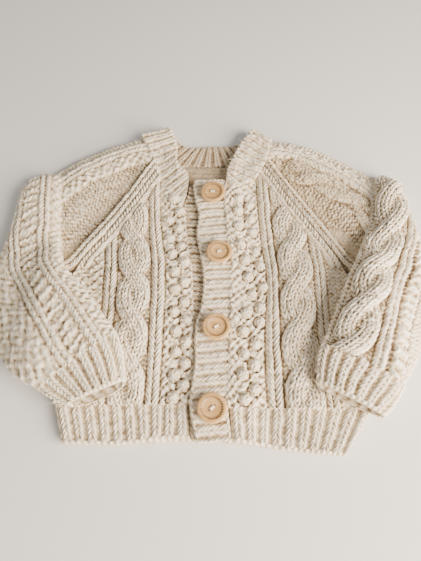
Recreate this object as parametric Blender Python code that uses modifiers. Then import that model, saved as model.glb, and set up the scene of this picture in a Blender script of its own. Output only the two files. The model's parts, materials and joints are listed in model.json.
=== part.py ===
# Hand-knitted baby cardigan with raglan sleeves, buttoned up and laid flat on its back.
# Lengths in the tables are in millimetres; the scene is in metres, +Z up.
# The neck is towards +Y and the hem towards -Y. Left and right are the wearer's, so the
# right front lies at -X. The origin is the middle of the garment on the surface it lies on.
# The two fronts and the sleeves differ a little, as a garment does when it is laid out by hand.
import math

import bpy
import bmesh
from mathutils import Vector

MM = 0.001
MIDDLE = (0.75, 1.0)  # middle of the garment's outline in the tables below

# The knitted cloth
BACK_WALL = 4.0
FRONT_WALL = 4.4
BAND_WALL = 3.8
NECK_WALL = 3.8
CUFF_WALL = 3.9
SEAM_GAP = 0.4        # between pieces that are sewn edge to edge
LAYER_GAP = 0.5       # between cloth that lies on cloth

# Heights of the layers, from the surface up
FRONT_LEVEL = BACK_WALL + LAYER_GAP
OVER_BAND_LEVEL = FRONT_LEVEL + BAND_WALL + LAYER_GAP
BUTTON_LEVEL = OVER_BAND_LEVEL + BAND_WALL + LAYER_GAP
BAND_BLEND = 26.0     # width over which the left front comes down from its raised band
PUFF = 2.6            # how far the cloth of each front stands up in its middle
PUFF_PLACE = ((-62.0, -48.0), (63.0, -48.0))
PUFF_REACH = (48.0, 70.0)
CAP_HEIGHT = 9.4      # two layers of sleeve at the shoulder
ARM_CLEARANCE = 1.1
SIDE_HOLD = 6.0       # how far past the body's side a sleeve stays up
SIDE_FALL = 16.0      # and how much further it takes to come down

# Buttons
BUTTON_DIAMETER = 20.0
BUTTON_THICKNESS = 3.4
BUTTON_RIM = 2.6
BUTTON_DISH = 0.9
BUTTON_HOLE_DIAMETER = 1.8
BUTTON_HOLE_SPACING = 4.2
BUTTONHOLE = (10.0, 1.3)

# The back, a row for each height from the hem rib to the neck: y, right side x, left side x
BACK_ROWS = (
    (-108.5, -106.0, 108.0),
    (-92.0, -110.0, 112.0),
    (-60.0, -111.5, 113.0),
    (-25.0, -108.5, 109.5),
    (-1.0, -103.8, 103.2),
    (30.0, -83.5, 85.8),
    (60.0, -66.0, 68.2),
    (80.0, -55.2, 57.4),
    (100.2, -44.2, 46.8),
)

# Inner edge of each front, along its band and then the neck: y, x.
# Its other edge is the back's, along the side and the raglan.
RIGHT_FRONT_ROWS = (
    (-108.5, -15.0),
    (-92.0, -14.2),
    (-80.0, -13.8),
    (-50.0, -14.5),
    (-18.0, -15.5),
    (0.0, -17.0),
    (14.0, -20.0),
    (43.0, -22.8),
    (53.0, -24.4),
    (60.0, -29.4),
    (70.0, -37.2),
    (80.0, -43.2),
    (88.0, -46.4),
)
LEFT_FRONT_ROWS = (
    (-111.0, 12.6),
    (-103.0, 13.0),
    (-93.0, 14.5),
    (-79.0, 15.0),
    (-64.0, 15.0),
    (-50.0, 15.4),
    (-40.0, 16.0),
    (-18.0, 17.7),
    (0.0, 17.5),
    (24.0, 15.0),
    (43.0, 13.9),
    (54.0, 12.9),
    (67.0, 13.6),
    (71.0, 24.4),
    (77.0, 35.0),
    (86.0, 42.4),
    (93.0, 46.2),
)

# Hem ribs, from one side to the other: top x, top y, bottom x, bottom y
BACK_HEM_ROWS = (
    (-106.0, -109.0, -96.6, -132.6),
    (-62.0, -109.0, -58.0, -133.0),
    (-14.0, -109.0, -14.0, -131.5),
    (20.0, -109.0, 20.0, -133.0),
    (62.0, -109.0, 57.0, -137.0),
    (108.0, -109.0, 88.0, -139.6),
)
RIGHT_HEM_ROWS = (
    (-105.6, -109.0, -97.0, -133.4),
    (-62.0, -109.0, -58.0, -134.0),
    (-30.0, -109.0, -29.0, -130.6),
    (-15.0, -109.0, -13.6, -130.4),
)
LEFT_HEM_ROWS = (
    (12.6, -111.5, 14.2, -132.6),
    (34.0, -111.5, 32.0, -135.0),
    (62.0, -111.5, 57.0, -138.4),
    (108.0, -111.5, 87.4, -140.8),
)

# Front bands, from the hem to the neck: y, right edge x, left edge x
UNDER_BAND_ROWS = (
    (-131.0, -13.0, 9.0),
    (-110.0, -14.4, 9.6),
    (-92.0, -13.7, 10.4),
    (-80.0, -13.3, 10.6),
    (-50.0, -14.0, 10.6),
    (-18.0, -15.0, 10.6),
    (0.0, -16.5, 10.2),
    (14.0, -19.4, 9.8),
    (43.0, -22.3, 9.4),
    (52.4, -23.8, 9.0),
    (66.0, -19.8, 8.6),
    (76.0, -18.2, 8.4),
)
OVER_BAND_ROWS = (
    (-133.2, -9.0, 13.6),
    (-126.0, -11.0, 13.2),
    (-114.0, -13.6, 11.9),
    (-103.0, -14.0, 12.4),
    (-93.0, -12.6, 14.0),
    (-79.0, -11.0, 14.4),
    (-64.0, -11.6, 14.4),
    (-50.0, -10.4, 14.8),
    (-40.0, -7.4, 15.4),
    (-18.0, -5.6, 17.1),
    (0.0, -7.2, 16.9),
    (24.0, -11.2, 14.4),
    (43.0, -9.8, 13.3),
    (54.0, -12.4, 12.3),
    (72.0, -14.8, 12.6),
    (79.6, -13.5, 12.8),
)

# The neckband, from the right front round the back to the left front:
# neck edge x, y, seam edge x, y, height of its underside
NECKBAND_ROWS = (
    (-20.4, 67.6, -24.4, 55.4, 4.6),
    (-19.6, 88.0, -36.6, 71.8, 5.0),
    (-29.4, 101.0, -45.0, 89.6, 5.6),
    (-30.2, 121.0, -52.0, 110.8, 6.4),
    (-36.2, 138.0, -60.8, 128.6, 7.6),
    (-37.0, 141.0, -61.6, 131.4, 3.8),
    (-35.6, 138.0, -59.4, 128.6, 0.2),
    (-28.6, 128.0, -49.2, 109.0, 0.0),
    (-18.0, 122.6, -36.0, 101.4, 0.0),
    (0.0, 124.2, 0.0, 101.2, 0.0),
    (18.0, 124.4, 37.0, 101.4, 0.0),
    (27.4, 128.6, 48.0, 109.0, 0.0),
    (35.6, 136.4, 52.6, 123.6, 0.2),
    (38.4, 140.0, 54.4, 127.0, 3.8),
    (37.0, 136.8, 52.8, 123.8, 7.6),
    (26.4, 121.0, 49.4, 106.6, 7.0),
    (19.6, 105.0, 43.8, 93.6, 7.0),
    (14.4, 91.0, 35.6, 80.8, 7.4),
    (13.4, 80.2, 14.2, 69.4, OVER_BAND_LEVEL),
)

# Shoulder of each sleeve, from the neck to the underarm, where it passes under the arm:
# y on the raglan seam, how far it stands off the seam, outer x, y
RIGHT_CAP_ROWS = (
    (93.4, 0.5, -64.8, 130.4),
    (82.0, 0.5, -80.0, 126.4),
    (60.0, 0.5, -101.0, 116.4),
    (36.0, 0.5, -124.0, 102.0),
    (15.0, 0.5, -142.0, 84.0),
    (-1.6, 0.9, -150.0, 62.0),
    (-8.0, 7.0, -152.0, 40.0),
)
LEFT_CAP_ROWS = (
    (97.0, 0.5, 57.8, 127.2),
    (84.6, 0.5, 76.0, 126.6),
    (60.6, 0.5, 100.0, 116.0),
    (36.4, 0.5, 123.6, 100.4),
    (17.0, 0.5, 144.0, 84.0),
    (-1.2, 0.9, 152.0, 62.0),
    (-8.0, 7.0, 154.0, 40.0),
)

# Each sleeve from its fold at the shoulder to the cuff seam:
# inner x, y, outer x, y, crown height
RIGHT_ARM_ROWS = (
    (-129.0, 90.0, -149.0, 90.4, 6.0),
    (-127.6, 78.0, -159.6, 77.0, 12.5),
    (-125.8, 54.0, -161.4, 57.0, 15.0),
    (-122.0, 29.0, -160.6, 35.0, 15.5),
    (-119.6, 13.0, -166.2, 12.0, 15.5),
    (-113.0, -5.0, -166.6, -14.0, 16.0),
    (-97.0, -23.0, -161.0, -44.0, 16.5),
    (-84.0, -38.0, -152.4, -67.0, 16.5),
    (-75.0, -50.0, -140.6, -86.0, 16.0),
    (-65.6, -61.6, -113.6, -100.6, 14.0),
)
LEFT_ARM_ROWS = (
    (138.0, 86.0, 156.0, 86.6, 6.0),
    (136.0, 70.0, 161.0, 70.0, 12.5),
    (133.6, 48.0, 165.0, 51.0, 14.5),
    (125.0, 26.0, 168.6, 26.0, 15.5),
    (115.4, 6.0, 166.6, -4.0, 16.0),
    (103.0, -16.0, 162.0, -30.0, 16.5),
    (90.0, -42.0, 155.0, -57.0, 16.5),
    (80.0, -62.0, 147.0, -78.0, 15.5),
    (76.2, -70.0, 131.0, -97.6, 14.0),
)

# Cuffs, from the seam to the mouth: inner x, y, outer x, y, crown height
RIGHT_CUFF_ROWS = (
    (-65.2, -62.2, -113.0, -101.2, 13.6),
    (-60.4, -76.0, -104.4, -105.4, 12.6),
    (-57.0, -95.0, -93.0, -110.4, 12.2),
)
LEFT_CUFF_ROWS = (
    (75.8, -70.8, 130.4, -98.4, 13.6),
    (72.6, -82.0, 122.0, -108.0, 12.6),
    (71.2, -96.4, 112.8, -118.2, 12.2),
)
CUFF_DEPTH = 0.62     # share of the cuff's length that its open mouth reaches in

# Buttons, from the neck down: x, y, tilt about Y, tilt about X in degrees
BUTTON_ROWS = (
    (2.2, 62.6, -5.0, 2.0),
    (6.6, 5.6, 2.0, -2.0),
    (4.2, -55.6, -1.0, 1.0),
    (1.0, -112.0, -1.0, 0.0),
)

SHEET_STEP = 12.5     # size of the faces along and across the flat pieces
ARM_SIDES = 12        # faces across the top of a sleeve, and as many underneath
ROW_STEPS = 2         # sections worked out between two rows of a sleeve

CREAM = (0.80, 0.72, 0.60, 1.0)
WOOD = (0.72, 0.50, 0.28, 1.0)


def ease(t):
    t = min(1.0, max(0.0, t))
    return t * t * (3.0 - 2.0 * t)


def mix(a, b, t):
    return a + (b - a) * t


def between(rows, index, t):
    # A row on the smooth curve through the rows, t of the way from row index to the next one.
    before = rows[max(index - 1, 0)]
    here = rows[index]
    there = rows[index + 1]
    after = rows[min(index + 2, len(rows) - 1)]
    made = []
    for a, b, c, d in zip(before, here, there, after):
        bend = 2 * a - 5 * b + 4 * c - d
        turn = -a + 3 * b - 3 * c + d
        made.append(0.5 * (2 * b + (c - a) * t + bend * t * t + turn * t * t * t))
    return tuple(made)


def finer(rows, steps):
    made = [between(rows, i, k / steps) for i in range(len(rows) - 1) for k in range(steps)]
    return made + [rows[-1]]


def side_rows_to_ends(rows):
    # Rows of (y, x, x) as pairs of end points.
    return [((first, y), (last, y)) for y, first, last in rows]


def edge_rows_to_ends(rows):
    return [((row[0], row[1]), (row[2], row[3])) for row in rows]


def resampled(rows, spacing):
    # Smooth rows, closer than the spacing where the table's own rows are further apart.
    made = []
    for i in range(len(rows) - 1):
        span = abs(rows[i + 1][0] - rows[i][0])
        steps = max(1, round(span / spacing))
        made += [between(rows, i, k / steps) for k in range(steps)]
    return made + [rows[-1]]


def puff(x, y):
    # The soft swelling of the front that the point is on.
    centre = PUFF_PLACE[0] if x < 0 else PUFF_PLACE[1]
    across = (x - centre[0]) / PUFF_REACH[0]
    along = (y - centre[1]) / PUFF_REACH[1]
    return PUFF * max(0.0, 1.0 - across * across - along * along) ** 1.5


def front_underside(x, y):
    # The left front starts at the height of the band that lies over.
    lift = 0.0
    if x > 0:
        lift = (OVER_BAND_LEVEL - FRONT_LEVEL) * (1.0 - ease((x - 15.0) / BAND_BLEND))
    return FRONT_LEVEL + lift + puff(x, y)


def body_side(x, y):
    # Where the garment's side or raglan is at this height, on the side that x is on.
    rows = resampled(BACK_ROWS, SHEET_STEP)
    y = min(max(y, rows[0][0]), rows[-1][0])
    for here, there in zip(rows, rows[1:]):
        if y <= there[0]:
            share = (y - here[0]) / (there[0] - here[0])
            column = 1 if x < 0 else 2
            return mix(here[column], there[column], share)
    return 0.0


def rest_height(x, y, fall):
    # What a sleeve lies on: the front, and past the body's side the surface itself.
    outside = abs(x) - abs(body_side(x, y)) - SIDE_HOLD
    on_body = front_underside(x, y) + FRONT_WALL + ARM_CLEARANCE
    return on_body * (1.0 - ease(outside / fall))


def material(name, colour, roughness):
    made = bpy.data.materials.new(name)
    made.use_nodes = True
    shader = made.node_tree.nodes["Principled BSDF"]
    shader.inputs["Base Color"].default_value = colour
    shader.inputs["Roughness"].default_value = roughness
    shader.inputs["Metallic"].default_value = 0.0
    return made


def new_object(name, mesh, finish, collection):
    made = bpy.data.objects.new(name, mesh)
    made.data.materials.append(finish)
    collection.objects.link(made)
    return made


def mesh_from(name, points, faces):
    mesh = bpy.data.meshes.new(name)
    mesh.from_pydata([Vector(point) * MM for point in points], [], faces)
    mesh.validate()
    return mesh


def grid_faces(rows, columns):
    faces = []
    for i in range(rows - 1):
        for j in range(columns - 1):
            corner = i * columns + j
            faces.append((corner, corner + 1, corner + columns + 1, corner + columns))
    return faces


def flat_piece(name, ends, columns, underside, wall, finish, collection):
    # An open sheet between two edges, given its wall upwards from the underside.
    points = []
    for first, last in ends:
        for j in range(columns + 1):
            x = mix(first[0], last[0], j / columns)
            y = mix(first[1], last[1], j / columns)
            points.append((x, y, underside(x, y)))
    mesh = mesh_from(name, points, grid_faces(len(ends), columns + 1))
    turned_up = bmesh.new()
    turned_up.from_mesh(mesh)
    if sum(face.normal.z for face in turned_up.faces) < 0:
        bmesh.ops.reverse_faces(turned_up, faces=turned_up.faces)
    turned_up.to_mesh(mesh)
    turned_up.free()
    made = new_object(name, mesh, finish, collection)
    shell = made.modifiers.new("wall", "SOLIDIFY")
    shell.thickness = wall * MM
    shell.offset = 1.0
    return made


def make_body(finish, collection):
    def surface(x, y):
        # What the garment lies on.
        return 0.0

    columns = round(220.0 / SHEET_STEP)
    half = round(96.0 / SHEET_STEP)
    ends = side_rows_to_ends(resampled(BACK_ROWS, SHEET_STEP))
    flat_piece("back", ends, columns, surface, BACK_WALL, finish, collection)
    ends = edge_rows_to_ends(resampled(BACK_HEM_ROWS, SHEET_STEP))
    flat_piece("back_hem_rib", ends, 2, surface, BACK_WALL, finish, collection)
    for side, front, hem in (
        ("right", RIGHT_FRONT_ROWS, RIGHT_HEM_ROWS),
        ("left", LEFT_FRONT_ROWS, LEFT_HEM_ROWS),
    ):
        ends = [((x, y), (body_side(x, y), y)) for y, x in resampled(front, SHEET_STEP)]
        flat_piece(side + "_front", ends, half, front_underside, FRONT_WALL, finish, collection)
        ends = edge_rows_to_ends(resampled(hem, SHEET_STEP))
        flat_piece(side + "_front_hem_rib", ends, 2, front_underside, FRONT_WALL, finish, collection)


def make_bands(finish, collection, cutters):
    def under(x, y):
        return FRONT_LEVEL

    def over(x, y):
        return OVER_BAND_LEVEL

    ends = side_rows_to_ends(resampled(UNDER_BAND_ROWS, SHEET_STEP))
    flat_piece("button_band", ends, 3, under, BAND_WALL, finish, collection)
    ends = side_rows_to_ends(resampled(OVER_BAND_ROWS, SHEET_STEP))
    band = flat_piece("buttonhole_band", ends, 3, over, BAND_WALL, finish, collection)
    for index, (x, y, _, _) in enumerate(BUTTON_ROWS):
        cutter_mesh = bpy.data.meshes.new("buttonhole_cutter")
        slot = bmesh.new()
        bmesh.ops.create_cube(slot, size=1.0)
        depth = 4 * BAND_WALL
        size = Vector((BUTTONHOLE[0], BUTTONHOLE[1], depth)) * MM
        bmesh.ops.scale(slot, vec=size, verts=slot.verts)
        slot.to_mesh(cutter_mesh)
        slot.free()
        cutter = bpy.data.objects.new("buttonhole_cutter_" + str(index + 1), cutter_mesh)
        cutter.location = Vector((x, y, OVER_BAND_LEVEL + BAND_WALL / 2)) * MM
        cutter.hide_render = True
        cutter.display_type = "WIRE"
        cutters.objects.link(cutter)
        cut = band.modifiers.new("buttonhole", "BOOLEAN")
        cut.operation = "DIFFERENCE"
        cut.object = cutter


def make_neckband(finish, collection):
    rows = finer(NECKBAND_ROWS, 3)
    columns = 3
    points = []
    for row in rows:
        for j in range(columns + 1):
            x = mix(row[0], row[2], j / columns)
            y = mix(row[1], row[3], j / columns)
            points.append((x, y, max(0.0, row[4]) + NECK_WALL / 2))
    mesh = mesh_from("neckband", points, grid_faces(len(rows), columns + 1))
    made = new_object("neckband", mesh, finish, collection)
    shell = made.modifiers.new("wall", "SOLIDIFY")
    shell.thickness = NECK_WALL * MM
    shell.offset = 0.0
    return made


def arm_ring(row, inset=0.0, wall=0.0):
    # One section of a sleeve: over the top from its inner edge to its outer edge and back
    # underneath. inset and wall shrink it to the inside of an open cuff.
    inner = Vector(row[0:2])
    outer = Vector(row[2:4])
    along = (outer - inner).normalized()
    inner = inner + along * inset
    outer = outer - along * inset
    crown = row[4]
    waist = 0.42 * crown
    over = []
    under = []
    for k in range(ARM_SIDES + 1):
        angle = math.pi * (1.0 - k / ARM_SIDES)
        place = inner.lerp(outer, (1.0 + math.cos(angle)) / 2.0)
        rise = max(0.0, math.sin(angle))
        soft = rest_height(place.x, place.y, 2.2 * SIDE_FALL)
        firm = rest_height(place.x, place.y, SIDE_FALL)
        top = max(soft, firm) + waist + (crown - waist) * rise ** 0.8
        bottom = firm + waist * (1.0 - rise ** 0.55)
        middle = (top + bottom) / 2
        top = max(top - wall, middle + 0.2 * (wall > 0))
        bottom = min(bottom + wall, middle - 0.2 * (wall > 0))
        if k in (0, ARM_SIDES):
            over.append((place.x, place.y, middle))
        else:
            over.append((place.x, place.y, top))
            under.append((place.x, place.y, bottom))
    return over + under[::-1]


def ring_faces(count, sides):
    faces = []
    for i in range(count - 1):
        for j in range(sides):
            k = (j + 1) % sides
            a = i * sides
            b = a + sides
            faces.append((a + j, a + k, b + k, b + j))
    return faces


def closed_loft(name, rings, finish, collection):
    sides = len(rings[0])
    points = [point for ring in rings for point in ring]
    faces = ring_faces(len(rings), sides)
    faces.append(tuple(range(sides))[::-1])
    faces.append(tuple(range((len(rings) - 1) * sides, len(rings) * sides)))
    mesh = mesh_from(name, points, faces)
    shape = bmesh.new()
    shape.from_mesh(mesh)
    bmesh.ops.recalc_face_normals(shape, faces=shape.faces)
    shape.to_mesh(mesh)
    shape.free()
    return new_object(name, mesh, finish, collection)


def cap_ring(row, foot):
    # One section of the shoulder: square at the raglan seam, rounded at the outer fold.
    y, gap, outer_x, outer_y = row
    raglan = Vector((body_side(outer_x, y) + math.copysign(gap, outer_x), y))
    outer = Vector((outer_x, outer_y))
    shares = (0.0, 0.25, 0.5, 0.7, 0.84, 0.94, 1.0)
    over = []
    under = []
    for share in shares:
        place = raglan.lerp(outer, share)
        round_off = 1.0 - max(0.0, (share - 0.5) / 0.5) ** 2
        half = CAP_HEIGHT / 2 * max(0.0, round_off) ** 0.5
        over.append((place.x, place.y, foot + CAP_HEIGHT / 2 + half))
        under.append((place.x, place.y, foot + (CAP_HEIGHT / 2 - half) * (share > 0.9)))
    return over + under[:-1][::-1]


def make_sleeve(name, cap_rows, arm_rows, finish, collection, cutters):
    # The shoulder and the bent arm are one knitted piece, so the arm is joined to the shoulder.
    foot = 0.2
    rings = [cap_ring(row, foot) for row in finer(cap_rows, ROW_STEPS)]
    sleeve = closed_loft(name, rings, finish, collection)
    rings = [arm_ring(row) for row in finer(arm_rows, ROW_STEPS)]
    arm = closed_loft(name + "_arm", rings, finish, cutters)
    arm.hide_render = True
    arm.display_type = "WIRE"
    join = sleeve.modifiers.new("arm", "BOOLEAN")
    join.operation = "UNION"
    join.object = arm


def make_cuff(name, rows, finish, collection):
    # A tube that is open at the hand, with its two layers almost lying on each other.
    rows = finer(rows, ROW_STEPS)
    rings = [arm_ring(row) for row in rows]
    first_open = round((1.0 - CUFF_DEPTH) * (len(rows) - 1))
    for row in rows[first_open:][::-1]:
        rings.append(arm_ring(row, inset=CUFF_WALL + 1.2, wall=CUFF_WALL))
    return closed_loft(name, rings, finish, collection)


def make_button(name, row, finish, collection, cutters):
    x, y, lean, nod = row
    radius = BUTTON_DIAMETER / 2
    profile = (
        (0.0, BUTTON_THICKNESS - BUTTON_DISH),
        (radius - BUTTON_RIM - 1.4, BUTTON_THICKNESS - BUTTON_DISH),
        (radius - BUTTON_RIM, BUTTON_THICKNESS - 0.1),
        (radius - BUTTON_RIM / 2, BUTTON_THICKNESS),
        (radius - 0.5, BUTTON_THICKNESS - 0.4),
        (radius, BUTTON_THICKNESS * 0.6),
        (radius - 0.6, 0.5),
        (radius - 2.0, 0.0),
        (0.0, 0.0),
    )
    mesh = bpy.data.meshes.new(name)
    points = [(r * MM, 0.0, z * MM) for r, z in profile]
    mesh.from_pydata(points, [(i, i + 1) for i in range(len(points) - 1)], [])
    button = new_object(name, mesh, finish, collection)
    rise = radius * (math.sin(math.radians(abs(lean))) + math.sin(math.radians(abs(nod))))
    button.location = Vector((x, y, BUTTON_LEVEL + rise)) * MM
    button.rotation_euler = (math.radians(nod), math.radians(lean), 0.0)
    turn = button.modifiers.new("turned", "SCREW")
    turn.steps = 40
    turn.render_steps = 40
    turn.use_merge_vertices = True
    turn.merge_threshold = 0.00005
    turn.use_smooth_shade = True
    for side in (-1, 1):
        hole = bpy.data.meshes.new(name + "_hole")
        drill = bmesh.new()
        bmesh.ops.create_cone(
            drill,
            cap_ends=True,
            segments=12,
            radius1=BUTTON_HOLE_DIAMETER / 2 * MM,
            radius2=BUTTON_HOLE_DIAMETER / 2 * MM,
            depth=4 * BUTTON_THICKNESS * MM,
        )
        offset = Vector((side * BUTTON_HOLE_SPACING / 2 * MM, 0.0, 0.0))
        bmesh.ops.translate(drill, vec=offset, verts=drill.verts)
        drill.to_mesh(hole)
        drill.free()
        cutter = bpy.data.objects.new(name + "_drill", hole)
        cutter.parent = button
        cutter.hide_render = True
        cutter.display_type = "WIRE"
        cutters.objects.link(cutter)
        cut = button.modifiers.new("hole", "BOOLEAN")
        cut.operation = "DIFFERENCE"
        cut.object = cutter
    return button


def centre_on_origin(collections):
    # One empty carries every piece, so that the middle of the outline is at the origin.
    middle = bpy.data.objects.new("middle of the outline", None)
    middle.location = Vector((-MIDDLE[0], -MIDDLE[1], 0.0)) * MM
    collections[0].objects.link(middle)
    for collection in collections:
        for piece in collection.objects:
            if piece.parent is None and piece is not middle:
                piece.parent = middle


def main():
    for old in list(bpy.data.objects):
        bpy.data.objects.remove(old)
    garment = bpy.data.collections.new("baby cardigan")
    cutters = bpy.data.collections.new("cutters")
    for collection in (garment, cutters):
        bpy.context.scene.collection.children.link(collection)
    wool = material("cream wool", CREAM, 0.95)
    wood = material("pale wood", WOOD, 0.55)
    make_body(wool, garment)
    make_bands(wool, garment, cutters)
    make_neckband(wool, garment)
    make_sleeve("right_sleeve", RIGHT_CAP_ROWS, RIGHT_ARM_ROWS, wool, garment, cutters)
    make_sleeve("left_sleeve", LEFT_CAP_ROWS, LEFT_ARM_ROWS, wool, garment, cutters)
    make_cuff("right_cuff", RIGHT_CUFF_ROWS, wool, garment)
    make_cuff("left_cuff", LEFT_CUFF_ROWS, wool, garment)
    for index, row in enumerate(BUTTON_ROWS):
        make_button("button_" + str(index + 1), row, wood, garment, cutters)
    centre_on_origin((garment, cutters))


main()
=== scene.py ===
import json
import math

import bmesh
import bpy
import numpy as np
from mathutils import Euler, Matrix, Vector

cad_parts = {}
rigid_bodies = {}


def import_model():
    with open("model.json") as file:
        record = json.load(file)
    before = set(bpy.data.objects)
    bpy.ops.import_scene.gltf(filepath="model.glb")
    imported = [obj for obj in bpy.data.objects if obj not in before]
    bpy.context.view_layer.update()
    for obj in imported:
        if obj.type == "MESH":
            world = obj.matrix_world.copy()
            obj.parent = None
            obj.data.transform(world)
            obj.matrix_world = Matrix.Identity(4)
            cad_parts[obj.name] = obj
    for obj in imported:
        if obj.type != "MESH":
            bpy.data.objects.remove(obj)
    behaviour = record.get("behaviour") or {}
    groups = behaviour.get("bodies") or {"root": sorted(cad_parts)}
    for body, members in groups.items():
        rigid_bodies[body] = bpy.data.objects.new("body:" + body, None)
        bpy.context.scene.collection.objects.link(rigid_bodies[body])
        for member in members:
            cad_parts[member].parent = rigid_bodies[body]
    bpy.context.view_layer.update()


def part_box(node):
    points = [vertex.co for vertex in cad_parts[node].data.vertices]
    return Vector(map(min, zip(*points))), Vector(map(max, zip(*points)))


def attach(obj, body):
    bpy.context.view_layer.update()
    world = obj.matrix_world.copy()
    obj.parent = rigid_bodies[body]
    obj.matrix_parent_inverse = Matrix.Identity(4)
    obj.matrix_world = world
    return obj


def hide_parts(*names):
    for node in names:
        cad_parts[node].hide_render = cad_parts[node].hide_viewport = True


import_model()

# A hand-knitted baby cardigan, buttoned and laid on its back. Sizes in the tables are millimetres.
# The neck is towards +Y. Left and right are the wearer's, so the right front lies at -X.
mm = 0.001
middle = np.array((0.75, 1.0, 0.0))  # the tables' centre line, seen from the frame's origin


# Small tools

def ease(t):
    t = np.clip(t, 0.0, 1.0)
    return t * t * (3.0 - 2.0 * t)


def softNoise(x, y, size, seed):
    # Smooth random values between -1 and 1, with lumps of about this size.
    gx = np.asarray(x) / size
    gy = np.asarray(y) / size
    ix = np.floor(gx)
    iy = np.floor(gy)
    fx = ease(gx - ix)
    fy = ease(gy - iy)

    def corner(a, b):
        wave = np.sin((ix + a) * 127.1 + (iy + b) * 311.7 + seed * 74.7) * 43758.5453
        return wave - np.floor(wave)

    low = corner(0, 0) * (1 - fx) + corner(1, 0) * fx
    high = corner(0, 1) * (1 - fx) + corner(1, 1) * fx
    return 2.0 * (low * (1 - fy) + high * fy) - 1.0


def onCurve(rows, places):
    # Points on the smooth curve through the rows, at whole and part row numbers.
    rows = np.asarray(rows, float)
    i = np.clip(np.floor(places).astype(int), 0, len(rows) - 2)
    t = (places - i)[:, None]
    a = rows[np.maximum(i - 1, 0)]
    b = rows[i]
    c = rows[i + 1]
    d = rows[np.minimum(i + 2, len(rows) - 1)]
    return 0.5 * (2 * b + (c - a) * t + (2 * a - 5 * b + 4 * c - d) * t**2 + (3 * b - a - 3 * c + d) * t**3)


def runAlong(line):
    # The way run along a line of points, 0 at the first of them.
    return np.concatenate(([0.0], np.cumsum(np.linalg.norm(np.diff(line, axis=0), axis=1))))


def midLine(rows):
    return (rows[:, 0:2] + rows[:, 2:4]) / 2


def upLine(rows):
    return np.stack((rows[:, 0], 0 * rows[:, 0]), axis=1)


def evenRows(rows, count, lineOf):
    # The rows again, evenly spaced along the line that lineOf gives, and the way run along it.
    places = np.linspace(0, len(rows) - 1, 60 * len(rows))
    run = runAlong(lineOf(onCurve(rows, places)))
    even = np.linspace(0, run[-1], count)
    return onCurve(rows, np.interp(even, run, places)), even


def blend(under, over, share):
    return under * (1 - share) + over * share


def hump(away, width):
    return np.exp(-((away / width) ** 2))


def normalsOf(grid, wrapped=False):
    if wrapped:
        wide = np.concatenate((grid[:, -1:], grid, grid[:, :1]), axis=1)
        across = wide[:, 2:] - wide[:, :-2]
    else:
        across = np.gradient(grid, axis=1)
    along = np.gradient(grid, axis=0)
    normal = np.cross(along, across)
    return normal / np.maximum(np.linalg.norm(normal, axis=2, keepdims=True), 1e-9)


# Shells: a fine outer grid of points, a coarse one on the other side, and a rim that joins them

def gridQuads(rows, columns, start, wrapped):
    i, j = np.meshgrid(np.arange(rows - 1), np.arange(columns if wrapped else columns - 1), indexing="ij")
    a = start + i * columns + j
    b = start + i * columns + (j + 1) % columns
    return np.stack((a, b, b + columns, a + columns), axis=-1).reshape(-1, 4)


def borderLoop(rows, columns, start):
    first = list(range(columns))
    right = [i * columns + columns - 1 for i in range(1, rows)]
    last = [(rows - 1) * columns + j for j in range(columns - 2, -1, -1)]
    left = [i * columns for i in range(rows - 2, 0, -1)]
    return start + np.array(first + right + last + left)


def rimFaces(fine, coarse, step):
    made = []
    for c in range(len(coarse)):
        here = coarse[c]
        there = coarse[(c + 1) % len(coarse)]
        for j in range(step):
            made.append((fine[(step * c + j + 1) % len(fine)], fine[step * c + j], here))
        made.append((there, fine[(step * c + step) % len(fine)], here))
    return made


def shellMesh(name, outer, inner, step, cavity, weave, wrapped=False, behind=None):
    # weave is each outer point's place in the knitting, in millimetres; behind is the cavity of the
    # underside, where that shows.
    n, m, _ = outer.shape
    p, q, _ = inner.shape
    start = n * m
    quads = np.concatenate((gridQuads(n, m, 0, wrapped), gridQuads(p, q, start, wrapped)[:, ::-1]))
    if wrapped:
        firstRing = rimFaces(np.arange(m), start + np.arange(q), step)
        endOuter = (n - 1) * m + np.arange(m)
        endInner = start + (p - 1) * q + np.arange(q)
        lastRing = rimFaces(endOuter, endInner, step)
        rim = firstRing + [face[::-1] for face in lastRing]
    else:
        rim = rimFaces(borderLoop(n, m, 0), borderLoop(p, q, start), step)
    points = np.concatenate((outer.reshape(-1, 3), inner.reshape(-1, 3))) - middle
    rim = np.array(rim)
    corners = points[np.concatenate((quads[:, :3], quads[:, [0, 2, 3]], rim))]
    if np.einsum("ij,ij->", corners[:, 0], np.cross(corners[:, 1], corners[:, 2])) < 0:
        quads = quads[:, ::-1]
        rim = rim[:, ::-1]
    mesh = bpy.data.meshes.new(name)
    mesh.vertices.add(len(points))
    mesh.vertices.foreach_set("co", (points * mm).ravel().astype(np.float32))
    loops = np.concatenate((quads.ravel(), rim.ravel())).astype(np.int32)
    starts = np.concatenate((np.arange(len(quads)) * 4, len(quads) * 4 + np.arange(len(rim)) * 3))
    mesh.loops.add(len(loops))
    mesh.loops.foreach_set("vertex_index", loops)
    mesh.polygons.add(len(starts))
    mesh.polygons.foreach_set("loop_start", starts.astype(np.int32))
    mesh.update(calc_edges=True)
    hidden = np.full(p * q, 0.35) if behind is None else behind.ravel()
    setCavity(mesh, np.concatenate((cavity.ravel(), hidden)))
    flat = np.concatenate((weave.reshape(-1, 2), inner.reshape(-1, 3)[:, :2]))
    uv = mesh.uv_layers.new(name="weave")
    uv.data.foreach_set("uv", flat[loops].ravel().astype(np.float32))
    mesh.shade_smooth()
    return mesh


def setCavity(mesh, values):
    depth = mesh.attributes.new("cavity", "FLOAT", "POINT")
    depth.data.foreach_set("value", np.asarray(values, np.float32))


def linked(name, data):
    made = bpy.data.objects.new(name, data)
    bpy.context.scene.collection.objects.link(made)
    return made


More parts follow.
